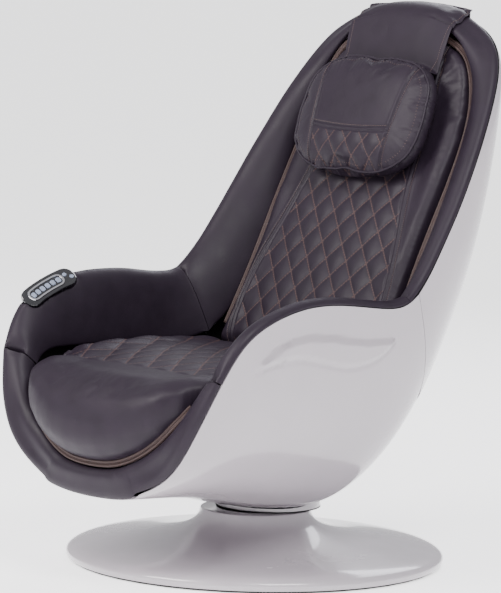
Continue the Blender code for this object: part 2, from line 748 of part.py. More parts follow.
# ------------------------------------------------------------------ the base
def make_base():
    """The trumpet cover, its floor plate, rubber ring, post, bush and gasket."""
    def flare(share):
        """A radius part of the way from the neck's rim to the disc's edge."""
        return NECK_R + share * (DISC_R - NECK_R)

    outside = [(NECK_R - 0.0010, NECK_TOP), (NECK_R + 0.0002, NECK_TOP - 0.0012),
               (NECK_R + 0.0025, 0.0880), (NECK_R + 0.0100, 0.0765), (NECK_R + 0.0260, 0.0660),
               (flare(0.222), 0.0562), (flare(0.421), 0.0464), (flare(0.659), 0.0382),
               (DISC_R - 0.0340, 0.0312), (DISC_R - 0.0120, 0.0258),
               (DISC_R - 0.0015, 0.0185), (DISC_R, 0.0120), (DISC_R - 0.0030, 0.0045)]
    inside = [(DISC_R - 0.0065, 0.0045), (DISC_R - 0.0045, 0.0120),
              (DISC_R - 0.0060, 0.0168), (DISC_R - 0.0150, 0.0222), (DISC_R - 0.0360, 0.0274),
              (flare(0.651), 0.0344), (flare(0.409), 0.0426), (flare(0.214), 0.0524),
              (NECK_R + 0.0230, 0.0630), (NECK_R + 0.0065, 0.0745), (NECK_R - 0.0010, 0.0870),
              (NECK_R - 0.0300, NECK_TOP - COVER_T), (NECK_R - 0.0300, NECK_TOP)]
    turned("base_cover", "gloss_white_base", outside + inside, 44)
    rim = DISC_R - 0.0082
    plate = DISC_R - 0.0220
    turned("base_plate", "steel_plate",
           [(plate - 0.004, 0.0042 + PLATE_T), (plate, 0.011),
            (plate, 0.0048), (0.030, 0.0048), (0.030, 0.0042 + PLATE_T)], 36)
    turned("foot_ring", "black_rubber",
           [(rim - 0.002, 0.0), (rim, 0.0015), (rim, 0.0040), (plate - 0.012, 0.0040),
            (plate - 0.012, 0.0)], 40)
    post = turned("swivel_post", "steel_plate",
                  [(POST_R - 0.006, 0.0150), (0.070, 0.0150), (0.070, 0.0200),
                   (POST_R + 0.004, 0.0205), (POST_R, 0.0240), (POST_R, 0.1220),
                   (POST_R - 0.006, 0.1220)], 24)
    post.location = (0, SWIVEL_Y, 0)
    bush = turned("swivel_bush", "grey_plastic",
                  [(POST_R + 0.0004, 0.0300), (POST_R + 0.0080, 0.0300),
                   (POST_R + 0.0080, 0.0340), (POST_R + BUSH_T, 0.0345),
                   (POST_R + BUSH_T, 0.1180), (POST_R + 0.0004, 0.1180)], 24)
    bush.location = (0, SWIVEL_Y, 0)
    seal = turned("neck_gasket", "black_rubber",
                  [(NECK_R - 0.026, NECK_TOP + 0.0004), (NECK_R - 0.005, NECK_TOP + 0.0004),
                   (NECK_R - 0.005, NECK_TOP + 0.0016), (NECK_R - 0.026, NECK_TOP + 0.0016)], 36)
    seal.location = (0, SWIVEL_Y, 0)


def shell_ceiling(points):
    """The height of the shell's underside above each (x, y)."""
    verts = []
    faces = []
    rows = 61
    across = 41
    for i in range(rows):
        u = 2.0 + 8.0 * i / (rows - 1)
        for j in range(across):
            verts.append(Vector(shell_point(u, -0.7 + 1.4 * j / (across - 1))))
    for i in range(rows - 1):
        for j in range(across - 1):
            k = i * across + j
            faces.append((k, k + 1, k + across + 1, k + across))
    tree = BVHTree.FromPolygons(verts, faces)
    out = []
    for x, y in points:
        hit = tree.ray_cast(Vector((x, y, -0.2)), Vector((0, 0, 1)))[0]
        out.append(hit.z)
    return out


def make_collar():
    """The white collar that carries the shell down to the neck."""
    outer = 0.0985
    inner = 0.0930
    low = NECK_TOP + 0.0024
    rings = []
    for k in range(40):
        a = 2 * math.pi * k / 40
        c = math.cos(a)
        s = math.sin(a)
        spots = [(outer * c, SWIVEL_Y + outer * s), (inner * c, SWIVEL_Y + inner * s)]
        high = [z - GAP for z in shell_ceiling(spots)]
        high = [max(z, low + 0.0012) for z in high]
        rings.append([(*spots[0], low), (*spots[0], high[0]), (*spots[1], high[1]),
                      (*spots[1], low)])
    loft(rings, "swivel_collar", "gloss_white_shell", smooth=30, join_ends=True)


# ----------------------------------------------------------- seat structure
def make_seat_structure():
    """The turning hub, the steel seat frame and the ply seat board."""
    bore = POST_R + BUSH_T + 0.0004
    hub = turned("swivel_hub", "steel_plate",
                 [(bore, 0.0345), (bore + 0.0054, 0.0345), (bore + 0.0054, 0.1560), (0.0720, 0.1560),
                  (0.0720, 0.1620), (bore, 0.1620)], 24)
    hub.location = (0, SWIVEL_Y, 0)
    frame = box("seat_frame", "steel_frame", (0.30, 0.022, 0.022), bevel=0.003,
                frame=Matrix.Translation((0, 0.070, 0.1760)))
    pieces = [((0.30, 0.022, 0.022), (0, -0.180, 0.1760)),
              ((0.022, 0.272, 0.022), (0.128, -0.055, 0.1760)),
              ((0.022, 0.272, 0.022), (-0.128, -0.055, 0.1760)),
              ((0.022, 0.272, 0.022), (0.045, -0.055, 0.1760)),
              ((0.022, 0.272, 0.022), (-0.045, -0.055, 0.1760))]
    for x in (-0.128, 0.128):
        for y in (-0.180, 0.070):
            pieces.append(((0.022, 0.022, 0.102), (x, y, 0.2280)))
    for k, (size, place) in enumerate(pieces):
        cutter = box("add_seat_bar_%d" % k, "steel_frame", size, "cutters",
                     frame=Matrix.Translation(place))
        boolean(frame, cutter, "UNION")
    box("seat_board", "board_ply", (0.380, 0.400, 0.012), bevel=0.002,
        frame=Matrix.Translation((0, -0.120, 0.2860)))


def back_place(along, deep, x=0.0):
    """A point in the back's own axes: up the slope, rearward and across."""
    y = BACK_Y + along * math.sin(RECLINE) + deep * math.cos(RECLINE)
    z = BACK_Z + along * math.cos(RECLINE) - deep * math.sin(RECLINE)
    return Vector((x, y, z))


BACK_UP = Vector((0, math.sin(RECLINE), math.cos(RECLINE)))
BACK_REAR = Vector((0, math.cos(RECLINE), -math.sin(RECLINE)))


def back_frame(along, deep, x=0.0):
    """A placement on the back: local X across, Y rearward, Z up the slope."""
    return frame_at(back_place(along, deep, x), (1, 0, 0), BACK_UP)


def make_back_structure():
    """The steel back frame, the two guide rails and the lead screw."""
    frame = box("back_frame", "steel_frame", (0.302, 0.018, 0.022), bevel=0.003,
                frame=back_frame(0.335, RAIL_D))
    pieces = [((0.302, 0.018, 0.022), back_frame(-0.090, RAIL_D)),
              ((0.018, 0.018, 0.447), back_frame(0.1225, RAIL_D, 0.142)),
              ((0.018, 0.018, 0.447), back_frame(0.1225, RAIL_D, -0.142))]
    for k, (size, place) in enumerate(pieces):
        cutter = box("add_back_bar_%d" % k, "steel_frame", size, "cutters", frame=place)
        boolean(frame, cutter, "UNION")
    for name, sign in (("guide_rail_left", 1), ("guide_rail_right", -1)):
        rod(name, "bright_steel", 0.006, 0.400, back_frame(0.1225, RAIL_D, sign * RAIL_X),
            chamfer=0.001)
    rod("lead_screw", "bright_steel", 0.005, 0.396, back_frame(0.1225, RAIL_D), sides=20)


def make_massage_carriage():
    """The carriage on the rails, its two rocking arms and four rollers."""
    tall = 2 * (ROLLER_REACH - ROLLER_R - ROLLER_PLAY)
    body = box("massage_carriage", "grey_plastic", (0.258, 0.030, tall), bevel=0.003,
               frame=back_frame(0.12, RAIL_D))
    for sign in (1, -1):
        hole = rod("cut_rail_%d" % (sign + 1), "grey_plastic", 0.0068, 0.2,
                   back_frame(0.12, RAIL_D, sign * RAIL_X), "cutters", 32)
        boolean(body, hole)
        slot = box("cut_arm_slot_%d" % (sign + 1), "grey_plastic", (0.0125, 0.030, 0.08),
                   "cutters", frame=back_frame(0.12, RAIL_D - 0.012, sign * ROLLER_X))
        boolean(body, slot)
    hole = rod("cut_screw", "grey_plastic", 0.0058, 0.2, back_frame(0.12, RAIL_D), "cutters", 32)
    boolean(body, hole)
    across = frame_at((0, 0, 0), (0, 1, 0), (1, 0, 0))
    for name, sign in (("roller_arm_left", 1), ("roller_arm_right", -1)):
        x = sign * ROLLER_X
        pivot = back_place(0.12, RAIL_D - 0.0095, x)
        arm = box(name, "motor_case", (0.0100, 0.012, ROLLER_REACH * 2 + 0.018), bevel=0.002,
                  frame=back_frame(0.12, ROLLER_D + 0.0060, x))
        boss = rod("add_boss_%s" % name, "motor_case", 0.0085, 0.0100,
                   Matrix.Translation(pivot) @ across, "cutters", 12)
        boolean(arm, boss, "UNION")
        for end, along in (("low", 0.12 - ROLLER_REACH), ("high", 0.12 + ROLLER_REACH)):
            spot = back_place(along, ROLLER_D, x + sign * 0.0120)
            stub = rod("add_%s_%s" % (name, end), "motor_case", 0.0045, 0.0330,
                       Matrix.Translation(spot) @ across, "cutters", 12)
            boolean(arm, stub, "UNION")
        put_origin(arm, pivot)
    for side, sign in (("left", 1), ("right", -1)):
        for end, along in (("low", 0.12 - ROLLER_REACH), ("high", 0.12 + ROLLER_REACH)):
            spot = back_place(along, ROLLER_D, sign * (ROLLER_X + 0.0165))
            turned("roller_%s_%s" % (side, end), "roller_plastic",
                   [(0.0050, -0.0100), (ROLLER_R - 0.003, -0.0100), (ROLLER_R, -0.004),
                    (ROLLER_R, 0.004), (ROLLER_R - 0.003, 0.0100), (0.0050, 0.0100)], 18,
                   Matrix.Translation(spot) @ across)


def make_drives():
    """The two motors, the control box and the power supply."""
    rod("lift_motor", "motor_case", 0.024, 0.070, back_frame(-0.145, RAIL_D + 0.020), chamfer=0.002)
    across = frame_at((0, 0, 0), (0, 1, 0), (1, 0, 0))
    rod("knead_motor", "motor_case", 0.0150, 0.060,
        Matrix.Translation(back_place(0.10, RAIL_D + 0.0325)) @ across, chamfer=0.002)
    box("control_box", "grey_plastic", (0.150, 0.100, 0.036), bevel=0.004,
        frame=Matrix.Translation((0, -0.080, 0.2120)))
    box("power_supply", "black_gloss_plastic", (0.090, 0.050, 0.032), bevel=0.004,
        frame=Matrix.Translation((0, 0.030, 0.2120)))


# ------------------------------------------------------------ control panel
PANEL_AT = 4.15             # loop position of the panel's middle
PANEL_L = 0.124             # length of the housing
PANEL_W = 0.040             # width of the housing
PANEL_D = 0.011             # depth of the housing into the arm


def panel_place(a, b, h):
    """A point on the arm panel: along it, across it inward, and proud of it."""
    c = PANEL_AT + a / 0.098
    u, v, side, edge, wall, inward, depth = loop_place(c)
    out = -wall * 0.72 + inward * 0.69
    out = out / np.linalg.norm(out)
    across = inward * 0.72 + wall * 0.69
    across = across - out * np.dot(out, across)
    across = across / np.linalg.norm(across)
    root = edge - wall * (ROLL_RISE - 0.0015) + inward * 0.0240
    p = root + across * b + out * h
    return Vector((-p[0], p[1], p[2]))


def rounded_outline(length, width, corner, steps=4):
    """A rounded rectangle as (a, b) points."""
    out = []
    for k, (sa, sb) in enumerate(((1, 1), (-1, 1), (-1, -1), (1, -1))):
        for m in range(steps + 1):
            t = math.radians(90 * k + 90 * m / steps)
            out.append((sa * (length / 2 - corner) + corner * math.cos(t),
                        sb * (width / 2 - corner) + corner * math.sin(t)))
    return out


def panel_solid(name, slot, outline, levels, where="parts", shift=(0.0, 0.0), smooth=35.0):
    """A solid wrapped on the arm: the outline at each (height, inset) level."""
    rings = []
    for h, inset in levels:
        ring = []
        for a, b in outline:
            reach = math.hypot(a, b)
            k = 1.0 - inset / reach
            ring.append(panel_place(shift[0] + a * k, shift[1] + b * k, h))
        rings.append(ring)
    return loft(rings, name, slot, where, smooth)


def split_long(outline, longest=0.012):
    """More points along the outline's straight runs."""
    out = []
    for (a, b), (c, d) in zip(outline, outline[1:] + outline[:1]):
        n = max(1, int(math.ceil(math.hypot(c - a, d - b) / longest)))
        out += [(a + (c - a) * k / n, b + (d - b) * k / n) for k in range(n)]
    return out


BUTTONS = [(-0.0360 + 0.0125 * k, 0.0) for k in range(6)]
KEYS = [(0.0430, -0.0050), (0.0530, 0.0040)]


def make_control_panel():
    """The arm panel: housing, chrome ring, six buttons and two round keys."""
    shape = split_long(rounded_outline(PANEL_L, PANEL_W, 0.0175))
    pocket = split_long(rounded_outline(PANEL_L + 2 * SOFT_GAP, PANEL_W + 2 * SOFT_GAP, 0.0187))
    cut = panel_solid("cut_panel_pocket", "grey_plastic", pocket,
                      [(-PANEL_D - SOFT_GAP, 0.0), (0.0, 0.0), (0.012, 0.0)], "cutters")
    arm = bpy.data.objects["surround_arm_right"]
    boolean(arm, cut)
    housing = panel_solid("panel_housing", "black_gloss_plastic", shape,
                          [(-PANEL_D, 0.002), (-0.001, 0.0), (0.0008, 0.0006), (0.0016, 0.0020)])
    window = split_long(rounded_outline(0.0860, 0.0270, 0.0130))
    inner = split_long(rounded_outline(0.0770, 0.0180, 0.0086))
    ring = []
    for (a, b), (c, d) in zip(window, resample(inner, window)):
        ring.append([panel_place(a - 0.0050, b, 0.0021),
                     panel_place(a * 0.98 - 0.0050, b * 0.93, 0.0034),
                     panel_place(c * 1.02 - 0.0050, d * 1.06, 0.0034),
                     panel_place(c - 0.0050, d, 0.0021)])
    loft(ring, "panel_ring", "chrome_trim", smooth=30, join_ends=True)
    cap = split_long(rounded_outline(0.0092, 0.0110, 0.0028, 2))
    well = split_long(rounded_outline(0.0100, 0.0118, 0.0031, 2))
    for k, (a, b) in enumerate(BUTTONS):
        key = panel_solid("panel_button_%d" % (k + 1), "button_plastic", cap,
                          [(-0.0040, 0.0), (0.0022, 0.0), (0.0030, 0.0008)], shift=(a, b))
        put_origin(key, panel_place(a, b, 0.0))
        hole = panel_solid("cut_button_%d" % (k + 1), "grey_plastic", well,
                           [(-0.0065, 0.0), (0.0100, 0.0)], "cutters", (a, b))
        boolean(housing, hole)
    dot = rounded_outline(0.0080, 0.0080, 0.00399, 4)
    dish = rounded_outline(0.0088, 0.0088, 0.00439, 4)
    for k, (a, b) in enumerate(KEYS):
        key = panel_solid("panel_key_%d" % (k + 1), "button_plastic", dot,
                          [(-0.0040, 0.0), (0.0024, 0.0), (0.0030, 0.0008)], shift=(a, b))
        put_origin(key, panel_place(a, b, 0.0))
        hole = panel_solid("cut_key_%d" % (k + 1), "grey_plastic", dish,
                           [(-0.0065, 0.0), (0.0100, 0.0)], "cutters", (a, b))
        boolean(housing, hole)


def resample(outline, like):
    """The outline read at the same directions as another one."""
    angles = np.array([math.atan2(b, a) for a, b in outline])
    order = np.argsort(angles)
    pts = np.array(outline)[order]
    angles = angles[order]
    pts = np.vstack([pts[-1:], pts, pts[:1]])
    angles = np.concatenate([[angles[-1] - 2 * math.pi], angles, [angles[0] + 2 * math.pi]])
    out = []
    for a, b in like:
        t = math.atan2(b, a)
        out.append((np.interp(t, angles, pts[:, 0]), np.interp(t, angles, pts[:, 1])))
    return out


# --------------------------------------------------------------- power inlet
def make_power_inlet():
    """The inlet and its rocker switch, low on the back of the shell."""
    spot = shell_point(9.6, 0.0)
    inward = Vector(shell_normal(9.6, 0.0))
    place = frame_at(Vector(spot) + inward * 0.010, (1, 0, 0), -inward)
    back = bpy.data.objects["shell_back"]
    hole = box("cut_inlet_hole", "grey_plastic", (0.0736, 0.0316, 0.08), "cutters", frame=place)
    boolean(back, hole)
    body = box("power_inlet", "black_gloss_plastic", (0.0720, 0.0300, 0.0250), bevel=0.0015,
               frame=place)
    socket = box("cut_inlet_socket", "grey_plastic", (0.0240, 0.0160, 0.0200), "cutters",
                 frame=place @ Matrix.Translation((0.0190, 0, 0.0130)))
    boolean(body, socket)
    seat = box("cut_rocker_seat", "grey_plastic", (0.0240, 0.0150, 0.0200), "cutters",
               frame=place @ Matrix.Translation((-0.0185, 0, 0.0105)))
    boolean(body, seat)
    pivot = place @ Matrix.Translation((-0.0185, 0, 0.0080))
    bm = bmesh.new()
    side = [(-0.0096, 0.0040), (0.0, 0.0058), (0.0096, 0.0072), (0.0090, -0.0010),
            (0.0, -0.0040), (-0.0090, -0.0010)]
    rows = []
    for y in (-0.0066, 0.0066):
        rows.append([bm.verts.new((x, y, z)) for x, z in side])
    for i in range(len(side)):
        j = (i + 1) % len(side)
        bm.faces.new((rows[0][i], rows[0][j], rows[1][j], rows[1][i]))
    bm.faces.new(rows[0])
    bm.faces.new(rows[1])
    rocker = finish(bm, "rocker_switch", "black_gloss_plastic", "parts", 30.0)
    rocker.matrix_world = pivot


# --------------------------------------------------------------------- build
clear_scene()
PLACES = {"parts": new_collection("massage_chair"), "cutters": new_collection("cutters")}
make_base()
make_collar()
make_shells()
make_surround()
make_seat_structure()
make_back_structure()
make_massage_carriage()
make_drives()
make_seat_cushion()
make_back_pad()
make_zip_bands()
make_head_pillow()
make_pillow_flap()
make_control_panel()
make_power_inlet()
bpy.context.view_layer.update()
fixed = ["base_cover", "base_plate", "foot_ring", "swivel_post", "swivel_bush", "neck_gasket"]
pieces = [made.name for made in PLACES["parts"].objects]
hang_from("pillow_hinge", PILLOW_HINGE, ["head_pillow", "pillow_flap"])
carried = [name for name in pieces if name not in fixed + ["head_pillow", "pillow_flap"]]
hang_from("swivel_axis", (0, SWIVEL_Y, NECK_TOP), carried + ["pillow_hinge"])
cutters = [made.name for made in PLACES["cutters"].objects]
hang_from("disc_centre", (0, 0, 0), fixed + ["swivel_axis"] + cutters).location.y = CENTRE_Y
bpy.context.view_layer.update()
print("made", len(pieces), "parts")
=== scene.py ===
# %% [markdown]
# # A swivel massage chair, dressed
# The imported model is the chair's skeleton and hard parts. Everything here adds the
# looks: leather, quilting, zips, moulded shells and the studio they stand in.

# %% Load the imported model
import json
import math

import bmesh
import bpy
import numpy as np
from mathutils import Matrix, Vector, kdtree, noise
from mathutils.bvhtree import BVHTree


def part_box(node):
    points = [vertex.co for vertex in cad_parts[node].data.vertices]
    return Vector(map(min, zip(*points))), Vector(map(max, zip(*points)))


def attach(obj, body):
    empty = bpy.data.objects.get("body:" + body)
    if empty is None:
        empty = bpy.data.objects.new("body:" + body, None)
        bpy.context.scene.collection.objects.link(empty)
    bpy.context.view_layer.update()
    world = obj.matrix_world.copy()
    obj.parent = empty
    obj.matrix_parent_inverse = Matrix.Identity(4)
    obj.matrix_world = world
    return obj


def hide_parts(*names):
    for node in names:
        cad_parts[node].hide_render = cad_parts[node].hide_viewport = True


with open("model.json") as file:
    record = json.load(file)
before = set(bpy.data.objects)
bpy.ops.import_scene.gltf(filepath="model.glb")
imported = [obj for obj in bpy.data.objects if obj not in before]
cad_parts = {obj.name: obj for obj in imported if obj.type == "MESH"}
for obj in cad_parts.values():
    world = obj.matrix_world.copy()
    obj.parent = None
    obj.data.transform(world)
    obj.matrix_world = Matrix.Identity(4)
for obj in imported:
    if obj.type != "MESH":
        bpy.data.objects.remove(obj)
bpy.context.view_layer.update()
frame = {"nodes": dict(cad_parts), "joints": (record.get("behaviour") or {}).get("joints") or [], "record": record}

NODES = frame["nodes"]
SCENE = bpy.context.scene
MM = 0.001

# %% [markdown]
# ## Camera
# A catalogue picture of a chair is taken from far away with a long lens, so that the
# near arm doesn't look bigger than the far one. The camera stands to the sitter's
# front left, a little above the seat, and is turned by a degree or so about its axis.

# %% Camera
CAMERA_AT = Vector((4.950, -4.910, 1.279))
AIM = Vector((-0.030, 0.010, 0.493))
LENS_MM = 228.4
ROLL = math.radians(1.42)

camera = bpy.data.objects.new("camera", bpy.data.cameras.new("camera"))
SCENE.collection.objects.link(camera)
camera.data.lens = LENS_MM
camera.data.clip_end = 300.0
turn = (AIM - CAMERA_AT).to_track_quat("-Z", "Y").to_matrix().to_4x4()
camera.matrix_world = Matrix.Translation(CAMERA_AT) @ turn @ Matrix.Rotation(ROLL, 4, "Z")
SCENE.camera = camera
print("camera", round((AIM - CAMERA_AT).length, 2), "m from the chair")

# %% [markdown]
# ## Studio
# Soft light comes from big sources: the bigger the lamp beside the chair, the softer
# its shadows. Three large panels and a pale sky give the broad highlights that show
# the leather's swell, and long clean reflections in the moulded shell. The floor is a
# sheet of white acrylic lit faintly from below, as a catalogue studio has it.

# %% Floor, sky and lamps
FLOOR_SIZE = 160.0


def colour(code):
    """An sRGB hex code as the linear colour that Blender works in."""
    out = []
    for at in (0, 2, 4):
        c = int(code[at:at + 2], 16) / 255.0
        out.append(c / 12.92 if c <= 0.04045 else ((c + 0.055) / 1.055) ** 2.4)
    return (*out, 1.0)


def add(tree, kind, inputs=None, **settings):
    """Add a shader node, set it up, and fill its sockets with values or links."""
    made = tree.nodes.new("ShaderNode" + kind)
    for key, value in settings.items():
        setattr(made, key, value)
    for key, value in (inputs or {}).items():
        if isinstance(value, bpy.types.NodeSocket):
            tree.links.new(value, made.inputs[key])
        else:
            made.inputs[key].default_value = value
    return made


def lamp(name, at, aim, size, watts, tint="FFFFFF"):
    """A square soft lamp that faces a point."""
    made = bpy.data.objects.new(name, bpy.data.lights.new(name, "AREA"))
    SCENE.collection.objects.link(made)
    made.data.size = size
    made.data.energy = watts
    made.data.color = colour(tint)[:3]
    turned = (Vector(aim) - Vector(at)).to_track_quat("-Z", "Y").to_matrix().to_4x4()
    made.matrix_world = Matrix.Translation(at) @ turned
    return made


lamp("key_panel", (-0.8, -3.2, 3.0), (0, 0, 0.55), 1.9, 190, "FFFCFA")
lamp("side_panel", (2.2, -0.9, 3.4), (0, 0, 0.5), 1.6, 120)
lamp("back_panel", (-1.2, 2.6, 2.6), (0, 0.2, 0.7), 1.8, 60, "F6F6FF")

sky = bpy.data.worlds.new("studio_sky")
sky.use_nodes = True
sky.node_tree.nodes["Background"].inputs["Color"].default_value = colour("F4F4F8")
sky.node_tree.nodes["Background"].inputs["Strength"].default_value = 0.80
SCENE.world = sky

floor_mesh = bpy.data.meshes.new("studio_floor")
half = FLOOR_SIZE / 2
floor_mesh.from_pydata([(-half, -half, 0), (half, -half, 0), (half, half, 0), (-half, half, 0)],
                       [], [(0, 1, 2, 3)])
floor = bpy.data.objects.new("studio_floor", floor_mesh)
floor.location.z = -0.0006
SCENE.collection.objects.link(floor)
paper = bpy.data.materials.new("seamless_paper")
paper.use_nodes = True
tree = paper.node_tree
sheet = tree.nodes["Principled BSDF"]
fibres = add(tree, "TexNoise", {"Scale": 60.0, "Detail": 4.0})
tone = add(tree, "Mix", {"Factor": fibres.outputs["Fac"], "A": colour("F3F2F4"),
                         "B": colour("F8F8F9")}, data_type="RGBA")
tree.links.new(tone.outputs["Result"], sheet.inputs["Base Color"])
sheet.inputs["Roughness"].default_value = 0.85
sheet.inputs["Emission Color"].default_value = colour("FFFFFF")
sheet.inputs["Emission Strength"].default_value = 1.50
floor_mesh.materials.append(paper)
print("studio ready")

# %% [markdown]
# ## Finishes
# Each finish starts from a Principled shader with the values its real material has.
# Texture comes from small patterns measured in millimetres. The patterns read the
# object's own coordinates, so they stay with a piece when it moves.

# %% The start of a finish
FINISHES = {}


def finish(slot, code, roughness, metallic=0.0, ior=1.5, coat=0.0, coat_roughness=0.1, sheen=0.0):
    """Start the finish for a slot: its material, node tree and shader."""
    made = bpy.data.materials.new(slot)
    made.use_nodes = True
    shader = made.node_tree.nodes["Principled BSDF"]
    shader.inputs["Base Color"].default_value = colour(code)
    shader.inputs["Roughness"].default_value = roughness
    shader.inputs["Metallic"].default_value = metallic
    shader.inputs["IOR"].default_value = ior
    shader.inputs["Coat Weight"].default_value = coat
    shader.inputs["Coat Roughness"].default_value = coat_roughness
    shader.inputs["Sheen Weight"].default_value = sheen
    FINISHES[slot] = made
    return made.node_tree, shader


def per_metre(pitch_mm):
    """The texture scale that repeats about once every pitch."""
    return 1000.0 / pitch_mm


def mottle(tree, shader, where, low, high, pitch_mm, rough_low, rough_high):
    """Let colour and gloss drift softly between two values."""
    drift = add(tree, "TexNoise", {"Vector": where, "Scale": per_metre(pitch_mm), "Detail": 5.0,
                                   "Roughness": 0.6})
    tint = add(tree, "Mix", {"Factor": drift.outputs["Fac"], "A": colour(low), "B": colour(high)},
               data_type="RGBA")
    gloss = add(tree, "MapRange", {"Value": drift.outputs["Fac"], "From Min": 0.3,
                                   "From Max": 0.7, "To Min": rough_low, "To Max": rough_high})
    tree.links.new(tint.outputs["Result"], shader.inputs["Base Color"])
    tree.links.new(gloss.outputs["Result"], shader.inputs["Roughness"])
    return tint, drift


# %% [markdown]
# ## Leather
# The cover is polyurethane-coated leather: a woven backing under a soft skin that is
# embossed with a fine pebble grain. The grain's cells are about 1.2 mm wide. They are
# drawn at 2.2 mm, or they would vanish at this distance. Broad ripples of some
# centimetres stand for the way the skin is pulled over foam.

# %% Coated leather
GRAIN_MM = 2.2
RIPPLE_MM = 55.0
LEATHER_DARK = "1B141D"
LEATHER_LIGHT = "251C28"
THREAD = "4B3836"


def leather(slot):
    """Plum coated leather. Returns the tree, the shader, its tint and its grain bump."""
    tree, shader = finish(slot, LEATHER_DARK, 0.50, ior=1.40)
    shader.inputs["Specular IOR Level"].default_value = 0.32
    where = add(tree, "TexCoord").outputs["Object"]
    tint, drift = mottle(tree, shader, where, LEATHER_DARK, LEATHER_LIGHT, 38.0, 0.44, 0.56)
    cells = add(tree, "TexVoronoi", {"Vector": where, "Scale": per_metre(GRAIN_MM)},
                feature="SMOOTH_F1")
    pores = add(tree, "TexNoise", {"Vector": where, "Scale": per_metre(GRAIN_MM * 0.5),
                                   "Detail": 3.0})
    ripple = add(tree, "TexNoise", {"Vector": where, "Scale": per_metre(RIPPLE_MM),
                                    "Detail": 2.0, "Distortion": 0.6})
    broad = add(tree, "Bump", {"Height": ripple.outputs["Fac"], "Strength": 0.20,
                               "Distance": 2.5 * MM})
    fine = add(tree, "Bump", {"Height": pores.outputs["Fac"], "Strength": 0.12,
                              "Distance": 0.2 * MM, "Normal": broad.outputs["Normal"]})
    grain = add(tree, "Bump", {"Height": cells.outputs["Distance"], "Strength": 0.30,
                               "Distance": 0.3 * MM, "Normal": fine.outputs["Normal"]})
    tree.links.new(grain.outputs["Normal"], shader.inputs["Normal"])
    return tree, shader, tint, grain


leather("dark_leather")
print("leather grain", GRAIN_MM, "mm")

# %% [markdown]
# ## Quilted leather
# Quilting is two skins sewn together over wadding along crossing lines. The puffs are
# modelled in the mesh. The thread is too fine for that, so the material draws it: each
# vertex carries two numbers that reach a whole value on the sewn lines, and a third
# that is 1 inside the quilted panel.

# %% Quilted leather
STITCHES_PER_CELL = 7.0
THREAD_SHARE = 0.026        # half width of the drawn thread, in cells

tree, shader, tint, grain = leather("quilted_leather")
sewn = add(tree, "Attribute", attribute_name="quilt")
parts = add(tree, "SeparateXYZ", {"Vector": sewn.outputs["Vector"]})
masks = []
for line, along in (("X", "Y"), ("Y", "X")):
    off = add(tree, "Math", {0: parts.outputs[line], 1: 0.5}, operation="PINGPONG")
    near = add(tree, "MapRange", {"Value": off.outputs[0], "From Min": THREAD_SHARE * 0.6,
                                  "From Max": THREAD_SHARE * 1.5, "To Min": 1.0, "To Max": 0.0})
    count = add(tree, "Math", {0: parts.outputs[along], 1: STITCHES_PER_CELL},
                operation="MULTIPLY")
    step = add(tree, "Math", {0: count.outputs[0], 1: 0.5}, operation="PINGPONG")
    dash = add(tree, "MapRange", {"Value": step.outputs[0], "From Min": 0.08, "From Max": 0.16})
    both = add(tree, "Math", {0: near.outputs["Result"], 1: dash.outputs["Result"]},
               operation="MULTIPLY")
    masks.append(both.outputs[0])
either = add(tree, "Math", {0: masks[0], 1: masks[1]}, operation="MAXIMUM")
thread = add(tree, "Math", {0: either.outputs[0], 1: parts.outputs["Z"]}, operation="MULTIPLY")
dyed = add(tree, "Mix", {"Factor": thread.outputs[0], "A": tint.outputs["Result"],
                         "B": colour(THREAD)}, data_type="RGBA")
tree.links.new(dyed.outputs["Result"], shader.inputs["Base Color"])
raised = add(tree, "Bump", {"Height": thread.outputs[0], "Strength": 0.6, "Distance": 0.6 * MM,
                            "Normal": grain.outputs["Normal"]})
tree.links.new(raised.outputs["Normal"], shader.inputs["Normal"])
print("quilting thread drawn at", STITCHES_PER_CELL, "stitches a cell")

# %% [markdown]
# ## Thread and zip tape
# Thread is bonded polyester and the tape is a tight polyester weave: both are matt
# with a faint sheen along the fibres. The weave is drawn about 1 mm wide.

# %% Woven tape and thread
tree, shader = finish("brown_zip_tape", "35211F", 0.62, sheen=0.05)
where = add(tree, "TexCoord").outputs["Object"]
mottle(tree, shader, where, "2C1B19", "3E2825", 9.0, 0.55, 0.72)
ribs = add(tree, "TexVoronoi", {"Vector": where, "Scale": per_metre(1.1)}, feature="F1")
weave = add(tree, "Bump", {"Height": ribs.outputs["Distance"], "Strength": 0.5,
                           "Distance": 0.35 * MM})
tree.links.new(weave.outputs["Normal"], shader.inputs["Normal"])

tree, shader = finish("sewing_thread", THREAD, 0.55, sheen=0.1)
where = add(tree, "TexCoord").outputs["Object"]
mottle(tree, shader, where, "443231", "584340", 6.0, 0.48, 0.62)
twist = add(tree, "TexNoise", {"Vector": where, "Scale": per_metre(0.6)})
ply = add(tree, "Bump", {"Height": twist.outputs["Fac"], "Strength": 0.4, "Distance": 0.2 * MM})
tree.links.new(ply.outputs["Normal"], shader.inputs["Normal"])
print("tape and thread ready")

# %% [markdown]
# ## Moulded shells
# The shells and the base cover are injection-moulded ABS with a glossy lacquer. A
# lacquered moulding is never a perfect mirror: it has a slow waviness of some
# centimetres, called orange peel when it is finer, and a trace of dust.

